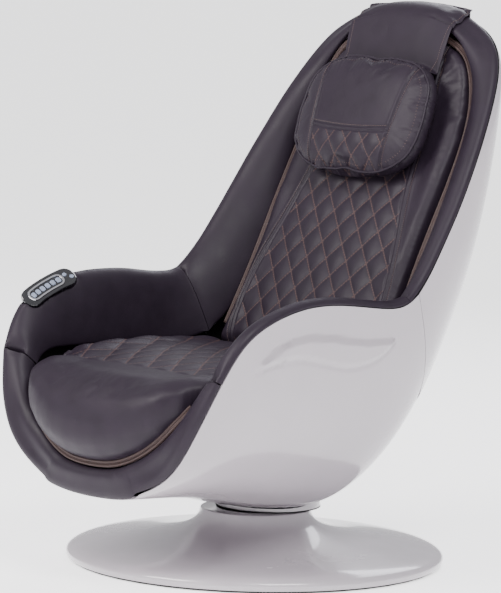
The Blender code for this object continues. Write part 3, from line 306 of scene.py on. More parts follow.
# %% Gloss white ABS
PEEL_MM = 4.0
WAVE_MM = 120.0
for slot, low, high, rough in (("gloss_white_shell", "9C959B", "A79FA6", 0.20),
                               ("gloss_white_base", "A49DA3", "AFA8AE", 0.22)):
    tree, shader = finish(slot, high, rough, ior=1.52, coat=0.55, coat_roughness=0.06)
    where = add(tree, "TexCoord").outputs["Object"]
    mottle(tree, shader, where, low, high, 160.0, rough - 0.03, rough + 0.06)
    wave = add(tree, "TexNoise", {"Vector": where, "Scale": per_metre(WAVE_MM), "Detail": 1.0})
    peel = add(tree, "TexNoise", {"Vector": where, "Scale": per_metre(PEEL_MM), "Detail": 2.0})
    slow = add(tree, "Bump", {"Height": wave.outputs["Fac"], "Strength": 0.10,
                              "Distance": 1.5 * MM})
    quick = add(tree, "Bump", {"Height": peel.outputs["Fac"], "Strength": 0.04,
                               "Distance": 0.1 * MM, "Normal": slow.outputs["Normal"]})
    tree.links.new(quick.outputs["Normal"], shader.inputs["Normal"])
print("shell finishes ready")

# %% [markdown]
# ## Hard trim and working parts
# The panel is piano-black ABS with a chrome-plated ring and pale, lit button caps. The
# parts inside are powder-coated steel, ground bars, die-cast alloy, nylon, rubber and
# birch ply. Each gets its own grit size and its own drift of colour and gloss.

# %% Trim and working finishes
TRIM = (
    # slot, dark, light, roughness, metallic, coat, grit in mm, relief in mm
    ("black_gloss_plastic", "101013", "1A1A1F", 0.12, 0.0, 0.7, 6.0, 0.04),
    ("chrome_trim", "C4C4C8", "DADADD", 0.07, 1.0, 0.0, 8.0, 0.02),
    ("button_plastic", "6F788C", "8A93A6", 0.28, 0.0, 0.3, 2.0, 0.05),
    ("steel_plate", "333437", "414246", 0.42, 0.8, 0.0, 1.2, 0.10),
    ("steel_frame", "222326", "2D2E31", 0.50, 0.6, 0.0, 1.0, 0.12),
    ("bright_steel", "A6A8AB", "C2C4C6", 0.22, 1.0, 0.0, 0.8, 0.04),
    ("black_rubber", "121212", "1C1C1C", 0.78, 0.0, 0.0, 1.5, 0.15),
    ("grey_plastic", "4B4B50", "5E5E63", 0.50, 0.0, 0.0, 1.4, 0.10),
    ("roller_plastic", "7E8083", "939598", 0.38, 0.0, 0.0, 1.4, 0.08),
    ("motor_case", "626468", "777A7E", 0.38, 0.9, 0.0, 1.0, 0.10),
    ("board_ply", "967850", "B8996B", 0.60, 0.0, 0.0, 3.0, 0.15),
)
for slot, low, high, rough, metallic, coat, grit, relief in TRIM:
    tree, shader = finish(slot, high, rough, metallic, coat=coat)
    where = add(tree, "TexCoord").outputs["Object"]
    mottle(tree, shader, where, low, high, grit * 6, rough * 0.85, rough * 1.2)
    speck = add(tree, "TexNoise", {"Vector": where, "Scale": per_metre(grit), "Detail": 3.0})
    tooth = add(tree, "Bump", {"Height": speck.outputs["Fac"], "Strength": 0.3,
                               "Distance": relief * MM})
    tree.links.new(tooth.outputs["Normal"], shader.inputs["Normal"])
FINISHES["button_plastic"].node_tree.nodes["Principled BSDF"].inputs[
    "Emission Color"].default_value = colour("C8D6F0")
FINISHES["button_plastic"].node_tree.nodes["Principled BSDF"].inputs[
    "Emission Strength"].default_value = 0.05
print("finishes", len(FINISHES))

# %% [markdown]
# ## Dressing the hard parts
# A imported part whose shape is right is kept. It only gets its finish, and the panel's parts a hair of
# bevel, because a moulded or machined edge is never razor sharp and that thin bright
# line is what makes it look real.

# %% Finish every imported node
SLOT_OF = {row["node"]: row["material_slot"] for row in frame["record"]["subparts"]}
for name, node in NODES.items():
    node.data.materials.clear()
    node.data.materials.append(FINISHES[SLOT_OF[name]])
for name in [n for n in NODES if n.startswith("panel_")]:
    round_off = NODES[name].modifiers.new("Eased edge", "BEVEL")
    round_off.width = 0.25 * MM
    round_off.segments = 2
    round_off.angle_limit = math.radians(35)
print("dressed", len(SLOT_OF), "nodes")

# %% [markdown]
# ## Tools for shaping
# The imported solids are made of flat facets. To get a flowing surface, a copy has its
# triangles joined back to four-sided faces, its true edges marked as sharp, and is then
# subdivided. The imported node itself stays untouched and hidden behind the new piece.

# %% Copies that can be smoothed
WELD = 0.00002


def piece(name, mesh, slot, body, stands_for=()):
    """A new visible piece with its finish, the body it rides on and what it replaces."""
    made = bpy.data.objects.new(name, mesh)
    SCENE.collection.objects.link(made)
    mesh.materials.clear()
    mesh.materials.append(FINISHES[slot])
    mesh.shade_smooth()
    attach(made, body)
    if stands_for:
        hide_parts(*stands_for)
    return made


def solid_of(node):
    """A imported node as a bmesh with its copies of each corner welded."""
    source = NODES[node].data
    bm = bmesh.new()
    corners = [bm.verts.new(v.co) for v in source.vertices]
    for face in source.polygons:
        bm.faces.new([corners[k] for k in face.vertices])
    bmesh.ops.remove_doubles(bm, verts=bm.verts, dist=WELD)
    bmesh.ops.recalc_face_normals(bm, faces=bm.faces)
    return bm


def settle(made):
    """Turn a piece's modifiers into its mesh."""
    bpy.context.view_layer.update()
    graph = bpy.context.evaluated_depsgraph_get()
    mesh = bpy.data.meshes.new_from_object(made.evaluated_get(graph))
    made.modifiers.clear()
    made.data = mesh
    mesh.shade_smooth()


def subdivide(made, levels):
    """Round a piece with a Subdivision Surface and settle it."""
    rounder = made.modifiers.new("Smooth", "SUBSURF")
    rounder.levels = levels
    rounder.render_levels = levels
    settle(made)


def relax(made, rounds):
    """Even out a surface's facets with rounds of smoothing."""
    smoother = made.modifiers.new("Relax", "SMOOTH")
    smoother.factor = 0.5
    smoother.iterations = rounds
    settle(made)


def smooth_copy(name, node, body, levels, sharp_deg=45.0):
    """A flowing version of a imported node."""
    bm = solid_of(node)
    bmesh.ops.join_triangles(bm, faces=bm.faces, angle_face_threshold=math.radians(35),
                             angle_shape_threshold=math.radians(120))
    mark = bm.edges.layers.float.new("crease_edge")
    for edge in bm.edges:
        if edge.is_manifold and edge.calc_face_angle() > math.radians(sharp_deg):
            edge[mark] = 1.0
    mesh = bpy.data.meshes.new(name)
    bm.to_mesh(mesh)
    bm.free()
    made = piece(name, mesh, SLOT_OF[node], body, [node])
    subdivide(made, levels)
    made.data.set_sharp_from_angle(angle=math.radians(sharp_deg))
    return made


def points(made):
    """A piece's vertices as rows of x, y, z."""
    out = np.zeros(len(made.data.vertices) * 3)
    made.data.vertices.foreach_get("co", out)
    return out.reshape(-1, 3)


def place_points(made, rows):
    """Put a piece's vertices at new places."""
    made.data.vertices.foreach_set("co", rows.ravel())
    made.data.update()


def normals(made):
    """The outward direction at each vertex."""
    out = np.zeros(len(made.data.vertices) * 3)
    made.data.vertex_normals.foreach_get("vector", out)
    return out.reshape(-1, 3)


def ease(x):
    """A smooth step from 0 to 1."""
    x = np.clip(x, 0.0, 1.0)
    return x * x * (3 - 2 * x)


def skin(made):
    """A search tree of a piece's surface."""
    mesh = made.data
    return BVHTree.FromPolygons([v.co for v in mesh.vertices],
                                [tuple(p.vertices) for p in mesh.polygons])


print("shaping tools ready")

# %% [markdown]
# ## Moulded shells and base
# The bucket is five lacquered panels with a hairline gap between them. Each side panel
# carries a raised leaf: its lower edge is crisp and its upper edge melts into the
# panel. The leaf is pressed into the mesh, so it catches light from any side. Inside,
# the panels' inward faces get the black rubber finish as painted shade, so that no white shows through beside the
# pads.

# %% Shell panels and base cover
BUCKET_MIDDLE = Vector((0, 0.02, 0.62))
BACKS = [smooth_copy(part + "_moulding", part, "seat", 3)
         for part in ("shell_back", "shell_wing_left", "shell_wing_right")]
SIDES = [smooth_copy(part + "_moulding", part, "seat", 4)
         for part in ("shell_side_left", "shell_side_right")]
smooth_copy("collar_moulding", "swivel_collar", "seat", 2)
smooth_copy("base_moulding", "base_cover", "base", 3, 60.0)

LEAF_TOP = ((-0.301, 0.411), (-0.262, 0.441), (-0.215, 0.459), (-0.150, 0.463),
            (-0.085, 0.455), (-0.030, 0.447), (0.015, 0.445), (0.0515, 0.446))
LEAF_FOOT = ((-0.301, 0.411), (-0.245, 0.423), (-0.190, 0.426), (-0.125, 0.413),
             (-0.066, 0.402), (-0.010, 0.408), (0.025, 0.424), (0.0515, 0.446))
LEAF_RISE = 5.0 * MM
LEAF_CRISP = 3.0 * MM
LEAF_GROOVE = 1.6 * MM        # a fine channel runs along its lower edge
LEAF_SOFT = 5.0 * MM


def smooth_line(knots, count):
    """Points on a smooth line through the knots (Catmull-Rom)."""
    p = np.asarray(knots, float)
    p = np.vstack([2 * p[0] - p[1], p, 2 * p[-1] - p[-2]])
    out = []
    for t in np.linspace(0, len(knots) - 1 - 1e-9, count):
        k = int(t)
        s = t - k
        a, b, c, d = p[k:k + 4]
        out.append(0.5 * (2 * b + (c - a) * s + (2 * a - 5 * b + 4 * c - d) * s * s
                          + (3 * b - a - 3 * c + d) * s ** 3))
    return np.array(out)


def shade_inside(made):
    """Paint the inner faces of a moulding black as painted shade, which hides the gaps beside the pads."""
    # The black rubber finish on the inward faces is painted shade for the gaps beside the pads.
    made.data.materials.append(FINISHES["black_rubber"])
    for face in made.data.polygons:
        inward = BUCKET_MIDDLE - face.center
        if face.normal.dot(inward) > 0.10 * inward.length:
            face.material_index = 1


leaf_top = smooth_line(LEAF_TOP, 60)
leaf_foot = smooth_line(LEAF_FOOT, 60)
for made in SIDES:
    rows = points(made)
    out = normals(made)
    over = np.interp(rows[:, 1], leaf_top[:, 0], leaf_top[:, 1]) - rows[:, 2]
    under = rows[:, 2] - np.interp(rows[:, 1], leaf_foot[:, 0], leaf_foot[:, 1])
    tips = np.minimum(rows[:, 1] - leaf_top[0, 0], leaf_top[-1, 0] - rows[:, 1])
    rise = ease(under / LEAF_CRISP) * ease(over / LEAF_SOFT) * ease(tips / LEAF_CRISP)
    channel = np.exp(-((under + LEAF_CRISP) / LEAF_CRISP) ** 2) * ease(tips / LEAF_CRISP)
    raised = rise * LEAF_RISE - channel * LEAF_GROOVE
    raised *= np.abs(out[:, 0]) > 0.5
    raised *= np.sign(out[:, 0]) == np.sign(rows[:, 0])
    place_points(made, rows + out * raised[:, None])
# Painted shade on the inward faces of every moulding.
for made in BACKS + SIDES:
    shade_inside(made)
print("leaf pressed into", len(SIDES), "panels")

# %% [markdown]
# ## Sewing tools
# A seam pulls the skin down into the foam, so a groove runs along it. Beside the groove
# lie the stitches, which are short pieces of thread of about 4 mm. Piping is a cord
# wrapped in leather and caught in the seam. All three follow a line that is drawn flat
# and then dropped onto the finished cushion.

# %% Planes, dropped lines, grooves, stitches and piping
ACROSS = Vector((1, 0, 0))


def plane(origin, up):
    """A flat sheet to draw on: its origin, its two axes and the way it faces."""
    up = Vector(up).normalized()
    return Vector(origin), ACROSS, up, ACROSS.cross(up)


def drop(tree, sheet, line, far=0.35):
    """Drop a flat line onto a surface. Returns the points and their normals."""
    origin, across, up, face = sheet
    spots = []
    ways = []
    for a, b in line:
        start = origin + across * float(a) + up * float(b) + face * far
        hit, way, _, _ = tree.ray_cast(start, -face)
        if hit is not None:
            spots.append(hit)
            ways.append(way)
    return np.array(spots), np.array(ways)


def even(line, step, ways=None):
    """Spread points evenly along a line, and read its normals at the same places."""
    line = np.asarray(line, float)
    run = np.concatenate([[0.0], np.cumsum(np.linalg.norm(np.diff(line, axis=0), axis=1))])
    count = max(2, int(round(run[-1] / step)) + 1)
    at = np.linspace(0, run[-1], count)
    out = np.stack([np.interp(at, run, line[:, k]) for k in range(line.shape[1])], axis=1)
    if ways is None:
        return out
    turned = np.stack([np.interp(at, run, ways[:, k]) for k in range(3)], axis=1)
    return out, turned / np.linalg.norm(turned, axis=1)[:, None]


def press(made, line, depth, width, lip=0.0):
    """Pull a groove into a piece along a line, with a low lip on both sides."""
    line = even(line, width * 0.4)
    near = kdtree.KDTree(len(line))
    for k, spot in enumerate(line):
        near.insert(spot, k)
    near.balance()
    rows = points(made)
    ways = normals(made)
    low = line.min(0) - 4 * width
    high = line.max(0) + 4 * width
    close = np.where(np.all((rows > low) & (rows < high), axis=1))[0]
    for k in close:
        gap = near.find(rows[k])[2] / width
        if gap < 4:
            rows[k] += ways[k] * (lip * math.exp(-(gap - 1.8) ** 2) - depth * math.exp(-gap * gap))
    place_points(made, rows)


THREAD_R = 0.55 * MM


def stitches(name, line, ways, body, pitch=4.2 * MM, length=3.0 * MM, radius=THREAD_R, slant=0.0):
    """A row of stitches along a line. A slant of 1 lays each stitch across the line."""
    line, ways = even(line, pitch, ways)
    verts = []
    faces = []
    sides = 5
    for k in range(len(line) - 1):
        ahead = line[k + 1] - line[k]
        ahead /= np.linalg.norm(ahead)
        up = ways[k] - ahead * np.dot(ahead, ways[k])
        up /= np.linalg.norm(up)
        side = np.cross(ahead, up)
        lie = ahead * (1 - slant) + side * slant
        lie /= np.linalg.norm(lie)
        wide = np.cross(up, lie)
        base = len(verts)
        for along, size in ((-0.5, 0.35), (-0.3, 1.0), (0.3, 1.0), (0.5, 0.35)):
            sink = radius * (0.5 if size < 1 else -0.25)
            mid = line[k] + lie * (along * length) - up * sink
            for m in range(sides):
                t = 2 * math.pi * m / sides
                verts.append(mid + (wide * math.cos(t) + up * math.sin(t)) * radius * size)
        for ring in range(3):
            for m in range(sides):
                n = (m + 1) % sides
                a = base + ring * sides
                faces.append((a + m, a + n, a + sides + n, a + sides + m))
        faces.append(tuple(base + m for m in reversed(range(sides))))
        faces.append(tuple(base + 3 * sides + m for m in range(sides)))
    mesh = bpy.data.meshes.new(name)
    mesh.from_pydata([tuple(v) for v in verts], [], faces)
    mesh.validate()
    return piece(name, mesh, "sewing_thread", body)


def sweep(name, line, ways, section, slot, body, closed=False):
    """Sweep an outline, given as (sideways, outward) points, along a line."""
    verts = []
    faces = []
    count = len(line)
    for k in range(count):
        after = line[(k + 1) % count] if closed or k < count - 1 else line[k]
        before = line[k - 1] if closed or k > 0 else line[k]
        ahead = (after - before) / np.linalg.norm(after - before)
        up = ways[k] - ahead * np.dot(ahead, ways[k])
        up /= np.linalg.norm(up)
        side = np.cross(ahead, up)
        verts += [tuple(line[k] + side * a + up * b) for a, b in section]
    n = len(section)
    for k in range(count if closed else count - 1):
        one = k * n
        two = ((k + 1) % count) * n
        faces += [(one + m, one + (m + 1) % n, two + (m + 1) % n, two + m) for m in range(n)]
    if not closed:
        faces.append(tuple(reversed(range(n))))
        faces.append(tuple((count - 1) * n + m for m in range(n)))
    mesh = bpy.data.meshes.new(name)
    mesh.from_pydata(verts, [], faces)
    bm = bmesh.new()
    bm.from_mesh(mesh)
    bmesh.ops.recalc_face_normals(bm, faces=bm.faces)
    bm.to_mesh(mesh)
    bm.free()
    return piece(name, mesh, slot, body)


def round_section(radius, sides=10, lift=0.0):
    """A round outline for piping."""
    return [(radius * math.cos(2 * math.pi * m / sides),
             lift + radius * math.sin(2 * math.pi * m / sides)) for m in range(sides)]


print("sewing tools ready")

# %% [markdown]
# ## Padding
# Foam under leather swells until the skin holds it back. A cloth simulation does the
# same: the cushion's skin is remeshed evenly, and blown up by an even pressure with no
# gravity. How far a point may travel is capped, so the cushion stays in its place
# between its neighbours. The pillow's skin is first taken in a little. The seat's and
# the back's are let out, because their covers close the gap that the zip runs in.

# %% Swelling a cushion
VOXEL = 5.0 * MM
FRAMES = 20
JOINTS = {row["name"]: row for row in frame["joints"]}
BACK_UP = Vector(JOINTS["carriage_lift"]["axis"])


def soft_copy(name, node, body, taken_in, rounds=14):
    """An evenly meshed copy of a cushion, taken in all over, or let out if below 0."""
    bm = solid_of(node)
    mesh = bpy.data.meshes.new(name)
    bm.to_mesh(mesh)
    bm.free()
    made = piece(name, mesh, SLOT_OF[node], body, [node])
    even_out = made.modifiers.new("Even mesh", "REMESH")
    even_out.mode = "VOXEL"
    even_out.voxel_size = VOXEL
    smoother = made.modifiers.new("Take off facets", "SMOOTH")
    smoother.factor = 0.5
    smoother.iterations = rounds
    settle(made)
    place_points(made, points(made) - normals(made) * taken_in)
    return made


def swell(cushions, cap, pressure=4.0):
    """Blow the cushions up as cloth, and cap how far each point moves."""
    starts = [points(made) for made in cushions]
    for made in cushions:
        cloth = made.modifiers.new("Swell", "CLOTH")
        cloth.settings.quality = 5
        cloth.settings.mass = 0.3
        cloth.settings.tension_stiffness = 25
        cloth.settings.compression_stiffness = 25
        cloth.settings.shear_stiffness = 10
        cloth.settings.bending_stiffness = 2
        cloth.settings.use_pressure = True
        cloth.settings.uniform_pressure_force = pressure
        cloth.settings.effector_weights.gravity = 0.0
        cloth.collision_settings.use_collision = False
        cloth.collision_settings.use_self_collision = False
    for at in range(1, FRAMES + 1):
        SCENE.frame_set(at)
    for made, start in zip(cushions, starts):
        settle(made)
        moved = points(made) - start
        far = np.linalg.norm(moved, axis=1)
        kept = cap * np.tanh(far / cap)
        place_points(made, start + moved * (kept / np.maximum(far, 1e-9))[:, None])
        print(made.name, "swelled by up to", round(float(kept.max()) / MM, 1), "mm")
    SCENE.frame_set(1)


# %% [markdown]
# ## Packing the cushions
# Foam is cut oversize at a cushion's two sides, so that it stays full up to the arm.
# The seat's rear is let out under the back pad. The back pad's rear is laid flat on its
# frame, clear of the massage rollers.

# %% Fuller sides
SLICE = 20 * MM
NARROW = 80 * MM             # slices narrower than this aren't filled
REAR_RUN = 80 * MM           # how far from its rear end the seat is let out, and by how much
REAR_GROW = 12 * MM
BACK_FLAT = 11 * MM


def fill_sides(made, along, face, reach, lift, spread):
    """Pack more foam under a cushion's two sides, so that it stays full up to them."""
    rows = points(made)
    ways = normals(made)
    place = np.round((rows[:, along] - rows[:, along].min()) / SLICE).astype(int)
    widest = np.zeros(place.max() + 1)
    np.maximum.at(widest, place, np.abs(rows[:, 0]))
    for _ in range(3):
        widest = np.convolve(np.pad(widest, 1, mode="edge"), (0.25, 0.5, 0.25), "valid")
    slices = rows[:, along].min() + np.arange(len(widest)) * SLICE
    half = np.interp(rows[:, along], slices, widest)
    share = ease(1 - (half - np.abs(rows[:, 0])) / reach) * ease(half / NARROW - 1)
    upper = ease(ways @ np.array(face) + 0.5)
    rows += np.array(face) * (share * upper * lift)[:, None]
    rows[:, 0] += np.sign(rows[:, 0]) * share * spread
    place_points(made, rows)


BACK_FACE = ACROSS.cross(BACK_UP)
seat = soft_copy("seat_cushion_cover", "seat_cushion", "seat", -4.0 * MM)
back = soft_copy("back_pad_cover", "back_pad", "seat", -3.0 * MM)
pillow = soft_copy("head_pillow_cover", "head_pillow", "pillow", 3.0 * MM)
swell([seat, back, pillow], 7.0 * MM)
for made in (seat, back, pillow):
    print(made.name, points(made).min(0).round(3), points(made).max(0).round(3))
fill_sides(seat, 1, Vector((0, 0, 1)), 90 * MM, 18 * MM, 7 * MM)
rows = points(seat)
rows[:, 1] += ease((rows[:, 1] - rows[:, 1].max() + REAR_RUN) / REAR_RUN) * REAR_GROW
place_points(seat, rows)
fill_sides(back, 2, BACK_FACE, 50 * MM, 10 * MM, 3 * MM)
rearward = ease(-(normals(back) @ np.array(BACK_FACE)) / 0.6)
place_points(back, points(back) + np.array(BACK_FACE) * (rearward * BACK_FLAT)[:, None])
for made in (seat, back, pillow):
    subdivide(made, 1)
    print(made.name, len(made.data.vertices), "points")

# %% [markdown]
# ## Quilting tools
# Diamond quilting has two sets of parallel lines that cross. Between the lines the
# wadding puffs up. A cell's height above its lines is a product of two waves, raised to
# a power below one so that the top of each diamond is broad and its edge is steep.

# %% Quilting a panel
PUFF_SHAPE = 0.55


def quilt(made, sheet, inside, wide, tall, puff):
    """Raise diamonds on a panel and note the sewn lines for the material."""
    origin, across, up, face = (np.array(v) for v in sheet)
    rows = points(made)
    ways = normals(made)
    a = (rows - origin) @ across
    b = (rows - origin) @ up
    one = a / wide + b / tall
    two = a / wide - b / tall
    facing = ways @ face > 0.2
    gap = inside(a, b) * facing
    mask = ease(gap / (6 * MM))
    wave = np.abs(np.sin(math.pi * one) * np.sin(math.pi * two)) ** PUFF_SHAPE
    place_points(made, rows + ways * ((wave * puff - 0.4 * puff) * mask)[:, None])
    noted = made.data.attributes.new("quilt", "FLOAT_VECTOR", "POINT")
    drawn = (gap > 3 * MM).astype(float)
    noted.data.foreach_set("vector", np.stack([one, two, drawn], axis=1).ravel())


def seam(label, made, tree, sheet, line, body, depth=2.6 * MM, width=3.2 * MM,
         beside=(4.5 * MM,)):
    """A sewn line: a groove with rows of stitches beside it."""
    line = np.asarray(line, float)
    spots, _ = drop(tree, sheet, line)
    press(made, spots, depth, width, lip=depth * 0.35)
    ahead = np.gradient(line, axis=0)
    side = np.stack([-ahead[:, 1], ahead[:, 0]], axis=1)
    side /= np.linalg.norm(side, axis=1)[:, None]
    return [(label + "_stitches_%d" % (k + 1), sheet, line + side * off, body)
            for k, off in enumerate(beside)]


def sew(made, rows):
    """Lay the rows of stitches on the pressed surface."""
    tree = skin(made)
    for label, sheet, line, body in rows:
        spots, ways = drop(tree, sheet, line)
        stitches(label, spots, ways, body)


def wrinkle(made, amount, pitch, seed, mask=None):
    """Loosen a surface with low, drawn-out wrinkles."""
    rows = points(made)
    ways = normals(made)
    share = np.ones(len(rows)) if mask is None else mask
    shift = np.zeros(len(rows))
    for k in np.where(share > 0.02)[0]:
        spot = Vector(rows[k]) / pitch + Vector((seed, seed * 0.7, 0))
        shift[k] = noise.fractal(spot, 1.0, 2.0, 3)
    place_points(made, rows + ways * (shift * share * amount)[:, None])


print("quilting tools ready")

# %% [markdown]
# ## Back pad
# The back is one long pad. Its middle panel is quilted and flares toward the seat, and
# a narrow strip with a seam on each side borders it. The plain cheeks outside it wrap
# round to the zip.

# %% Back pad
back_low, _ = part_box("back_pad")
BACK_SHEET = plane((0, back_low.y, back_low.z), BACK_UP)
PANEL_EDGE = ((-0.06, 0.168), (0.03, 0.176), (0.10, 0.177), (0.18, 0.168), (0.27, 0.148),
              (0.36, 0.128), (0.44, 0.119), (0.56, 0.112), (0.72, 0.105))
STRIP = 9.0 * MM
DIAMOND_WIDE = 52.0 * MM
DIAMOND_TALL = 66.0 * MM

edge = smooth_line(PANEL_EDGE, 90)


def back_inside(a, b):
    """How far a point of the back is inside the quilted panel."""
    return np.interp(b, edge[:, 0], edge[:, 1]) - np.abs(a)


quilt(back, BACK_SHEET, back_inside, DIAMOND_WIDE, DIAMOND_TALL, 3.6 * MM)
tree = skin(back)
rows = []
for side, sign in (("left", 1), ("right", -1)):
    inner = np.stack([edge[:, 1] * sign, edge[:, 0]], axis=1)
    outer = np.stack([(edge[:, 1] + STRIP) * sign, edge[:, 0]], axis=1)
    seam("back_inner_" + side, back, tree, BACK_SHEET, inner, "seat", 1.6 * MM, 2.4 * MM)
    rows += seam("back_outer_" + side, back, tree, BACK_SHEET, outer, "seat", 3.2 * MM, 3.0 * MM,
                 (-sign * 4.0 * MM,))
wrinkle(back, 1.0 * MM, 0.07, 3.0)
sew(back, rows)
print("back pad sewn with", len(rows), "rows")

# %% [markdown]
# ## Seat cushion
# The cushion's front is one smooth face. On top lies a quilted leaf whose front edge is
# a strip with a stitched seam, and whose ends are rounded where they meet the arms.

# %% Seat cushion
SEAT_SHEET = plane((0, 0, 0), (0, 1, 0))
_, seat_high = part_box("seat_cushion")
LEAF_HALF = seat_high.x - 2 * MM
LEAF_FRONT = -0.306
LEAF_BACK = seat_high.y - 20 * MM
LEAF_CORNER = 0.090


def leaf_line(grow):
    """The leaf's open outline, from one rear end round the front to the other."""
    half = LEAF_HALF + grow
    front = LEAF_FRONT - grow
    r = LEAF_CORNER
    line = [(-half, y) for y in np.linspace(LEAF_BACK, front + r, 24)]
    for t in np.linspace(math.pi, 1.5 * math.pi, 14)[1:]:
        line.append((-half + r + r * math.cos(t), front + r + r * math.sin(t)))
    line += [(-x, y) for x, y in line[::-1]]
    return np.array(line)


def seat_inside(a, b):
    """How far a point of the seat is inside the leaf."""
    x = LEAF_HALF - np.abs(a)
    y = b - LEAF_FRONT
    r = LEAF_CORNER
    corner = r - np.hypot(np.maximum(r - x, 0), np.maximum(r - y, 0))
    return np.where((x < r) & (y < r), corner, np.minimum(x, y))


quilt(seat, SEAT_SHEET, seat_inside, 60.0 * MM, 88.0 * MM, 3.2 * MM)
tree = skin(seat)
seam("seat_inner", seat, tree, SEAT_SHEET, even(leaf_line(0.0), 5 * MM), "seat", 1.4 * MM, 2.4 * MM)
rows = seam("seat_outer", seat, tree, SEAT_SHEET, even(leaf_line(8 * MM), 5 * MM), "seat",
            2.4 * MM, 2.8 * MM, (-4.0 * MM,))
wrinkle(seat, 0.6 * MM, 0.10, 8.0)
sew(seat, rows)
print("seat sewn")

# %% [markdown]
# ## Head pillow
# The pillow's face is three panels wide. A raised double seam crosses its middle panel
# and the part below is quilted. Piping runs round the face, and because the face is
# gathered into it, small folds start at the edge and fade within a few centimetres.

# %% Head pillow
PILLOW_TILT = math.radians(21.5)
pillow_low, pillow_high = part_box("head_pillow")
PILLOW_MIDDLE = (pillow_low + pillow_high) / 2
PILLOW_UP = Vector((0, math.sin(PILLOW_TILT), math.cos(PILLOW_TILT)))
PILLOW_SHEET = plane(PILLOW_MIDDLE, PILLOW_UP)
CHEEK_AT = 0.103
CHEEK_LEAN = 0.10
BELT_AT = -0.034
BELT_WIDE = 7.0 * MM
PIPING_R = 2.6 * MM
PIPING_DEPTH = -0.013       # the piping and the gathering stitches, from the middle rearward
GATHER_DEPTH = -0.021
GATHER_REACH = 0.060        # how far the folds run in from the rim
GATHER_FADE = 0.016
GATHER_HIGH = 3.4 * MM


def pillow_ring(tree, depth, count=160):
    """The pillow's outline at a depth behind its middle, with outward directions."""
    origin, across, up, face = PILLOW_SHEET
    spots = []
    ways = []
    for k in range(count):
        t = 2 * math.pi * k / count
        way = across * math.cos(t) + up * math.sin(t)
        mid = origin - face * depth
        hit, _, _, _ = tree.ray_cast(mid + way * 0.4, -way)
        spots.append(hit)
        ways.append(way * 0.8 + face * 0.6)
    spots = np.array(spots)
    for _ in range(6):
        spots = (np.roll(spots, 1, 0) + 2 * spots + np.roll(spots, -1, 0)) / 4
    return spots, np.array(ways)


def pillow_inside(a, b):
    """How far a point of the pillow is inside its quilted panel."""
    return np.minimum(CHEEK_AT + CHEEK_LEAN * b - np.abs(a), BELT_AT - BELT_WIDE - b)


quilt(pillow, PILLOW_SHEET, pillow_inside, 44.0 * MM, 60.0 * MM, 3.4 * MM)
tree = skin(pillow)
rim, _ = pillow_ring(tree, PIPING_DEPTH)
rows = points(pillow)
ways = normals(pillow)
near = kdtree.KDTree(len(rim))
for k, spot in enumerate(rim):
    near.insert(spot, k)
near.balance()
fold = np.zeros(len(rows))
for k, spot in enumerate(rows):
    _, at, gap = near.find(spot)
    if gap < GATHER_REACH:
        broad = noise.noise(Vector((at * 0.42, 3.1, 0.0)))
        narrow = noise.noise(Vector((at * 0.9, 7, 0)))
        fold[k] = (broad + 0.6 * narrow) * math.exp(-gap / GATHER_FADE) * GATHER_HIGH
place_points(pillow, rows + ways * fold[:, None])
rows = []
for side, sign in (("left", 1), ("right", -1)):
    line = [(sign * (CHEEK_AT + CHEEK_LEAN * b), b) for b in np.linspace(-0.105, 0.108, 50)]
    rows += seam("pillow_cheek_" + side, pillow, tree, PILLOW_SHEET, line, "pillow", 3.0 * MM,
                 2.8 * MM, (-sign * 4.0 * MM,))
for label, at in (("belt_upper", BELT_AT), ("belt_lower", BELT_AT - BELT_WIDE)):
    reach = CHEEK_AT + CHEEK_LEAN * at - 2 * MM
    line = [(a, at + 0.006 * (a / reach) ** 2) for a in np.linspace(-reach, reach, 60)]
    beside = (3.0 * MM,) if label == "belt_upper" else ()
    rows += seam("pillow_" + label, pillow, tree, PILLOW_SHEET, line, "pillow", 2.4 * MM,
                 2.6 * MM, beside)
wrinkle(pillow, 0.8 * MM, 0.08, 5.0)
sew(pillow, rows)
rim, rim_ways = pillow_ring(skin(pillow), PIPING_DEPTH, 220)
sweep("pillow_piping", rim, rim_ways, round_section(PIPING_R, lift=0.8 * MM), "dark_leather",
      "pillow", closed=True)
inner, inner_ways = pillow_ring(skin(pillow), GATHER_DEPTH, 220)
stitches("pillow_gather_stitches", np.vstack([inner, inner[:1]]),
         np.vstack([inner_ways, inner_ways[:1]]), "pillow", 6.0 * MM, 3.6 * MM, slant=0.8)
print("pillow sewn")

# %% [markdown]
# ## Flap
# A doubled sheet of the same leather hangs the pillow over the top of the back. Its
# corners sag onto the roll, its foot is sewn to the pillow's back, and its hem is folded
# under and stitched 7 mm from the edge.

# %% Pillow flap
flap = smooth_copy("pillow_flap_leather", "pillow_flap", "pillow", 3, 60.0)
FLAP_DEEPER = 0.034          # the foot goes this much further down behind the pillow
FLAP_REACH = 0.045           # and is sewn to its back within this distance
FLAP_SAG = 0.022             # the corners may drop this far to lie on the roll
under = BVHTree.FromPolygons([v.co for v in NODES["surround_back"].data.vertices],
                             [tuple(f.vertices) for f in NODES["surround_back"].data.polygons])
rows = points(flap)
foot = ease((PILLOW_MIDDLE.z + 0.19 - rows[:, 2]) / 0.07)
rows -= np.array(PILLOW_UP) * (foot * FLAP_DEEPER)[:, None]
sewn_to = skin(pillow)
for k in np.where(foot > 0.3)[0]:
    hit, _, _, away = sewn_to.ray_cast(Vector(rows[k]), PILLOW_SHEET[3], FLAP_REACH)
    if hit is not None:
        rows[k] += np.array(PILLOW_SHEET[3]) * away * ease((foot[k] - 0.3) / 0.7)
for k, spot in enumerate(rows):
    hit, _, _, _ = under.ray_cast(Vector(spot) + Vector((0, 0, 0.002)), Vector((0, 0, -1)), 0.08)
    if hit is not None:
        room = spot[2] - hit.z - 3.5 * MM
        corner = ease((abs(spot[0]) - 0.05) / 0.06)
        rows[k, 2] -= corner * min(max(room, 0.0), FLAP_SAG)
place_points(flap, rows)
wrinkle(flap, 1.6 * MM, 0.11, 12.0)
relax(flap, 10)
flap_low, flap_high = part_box("pillow_flap")
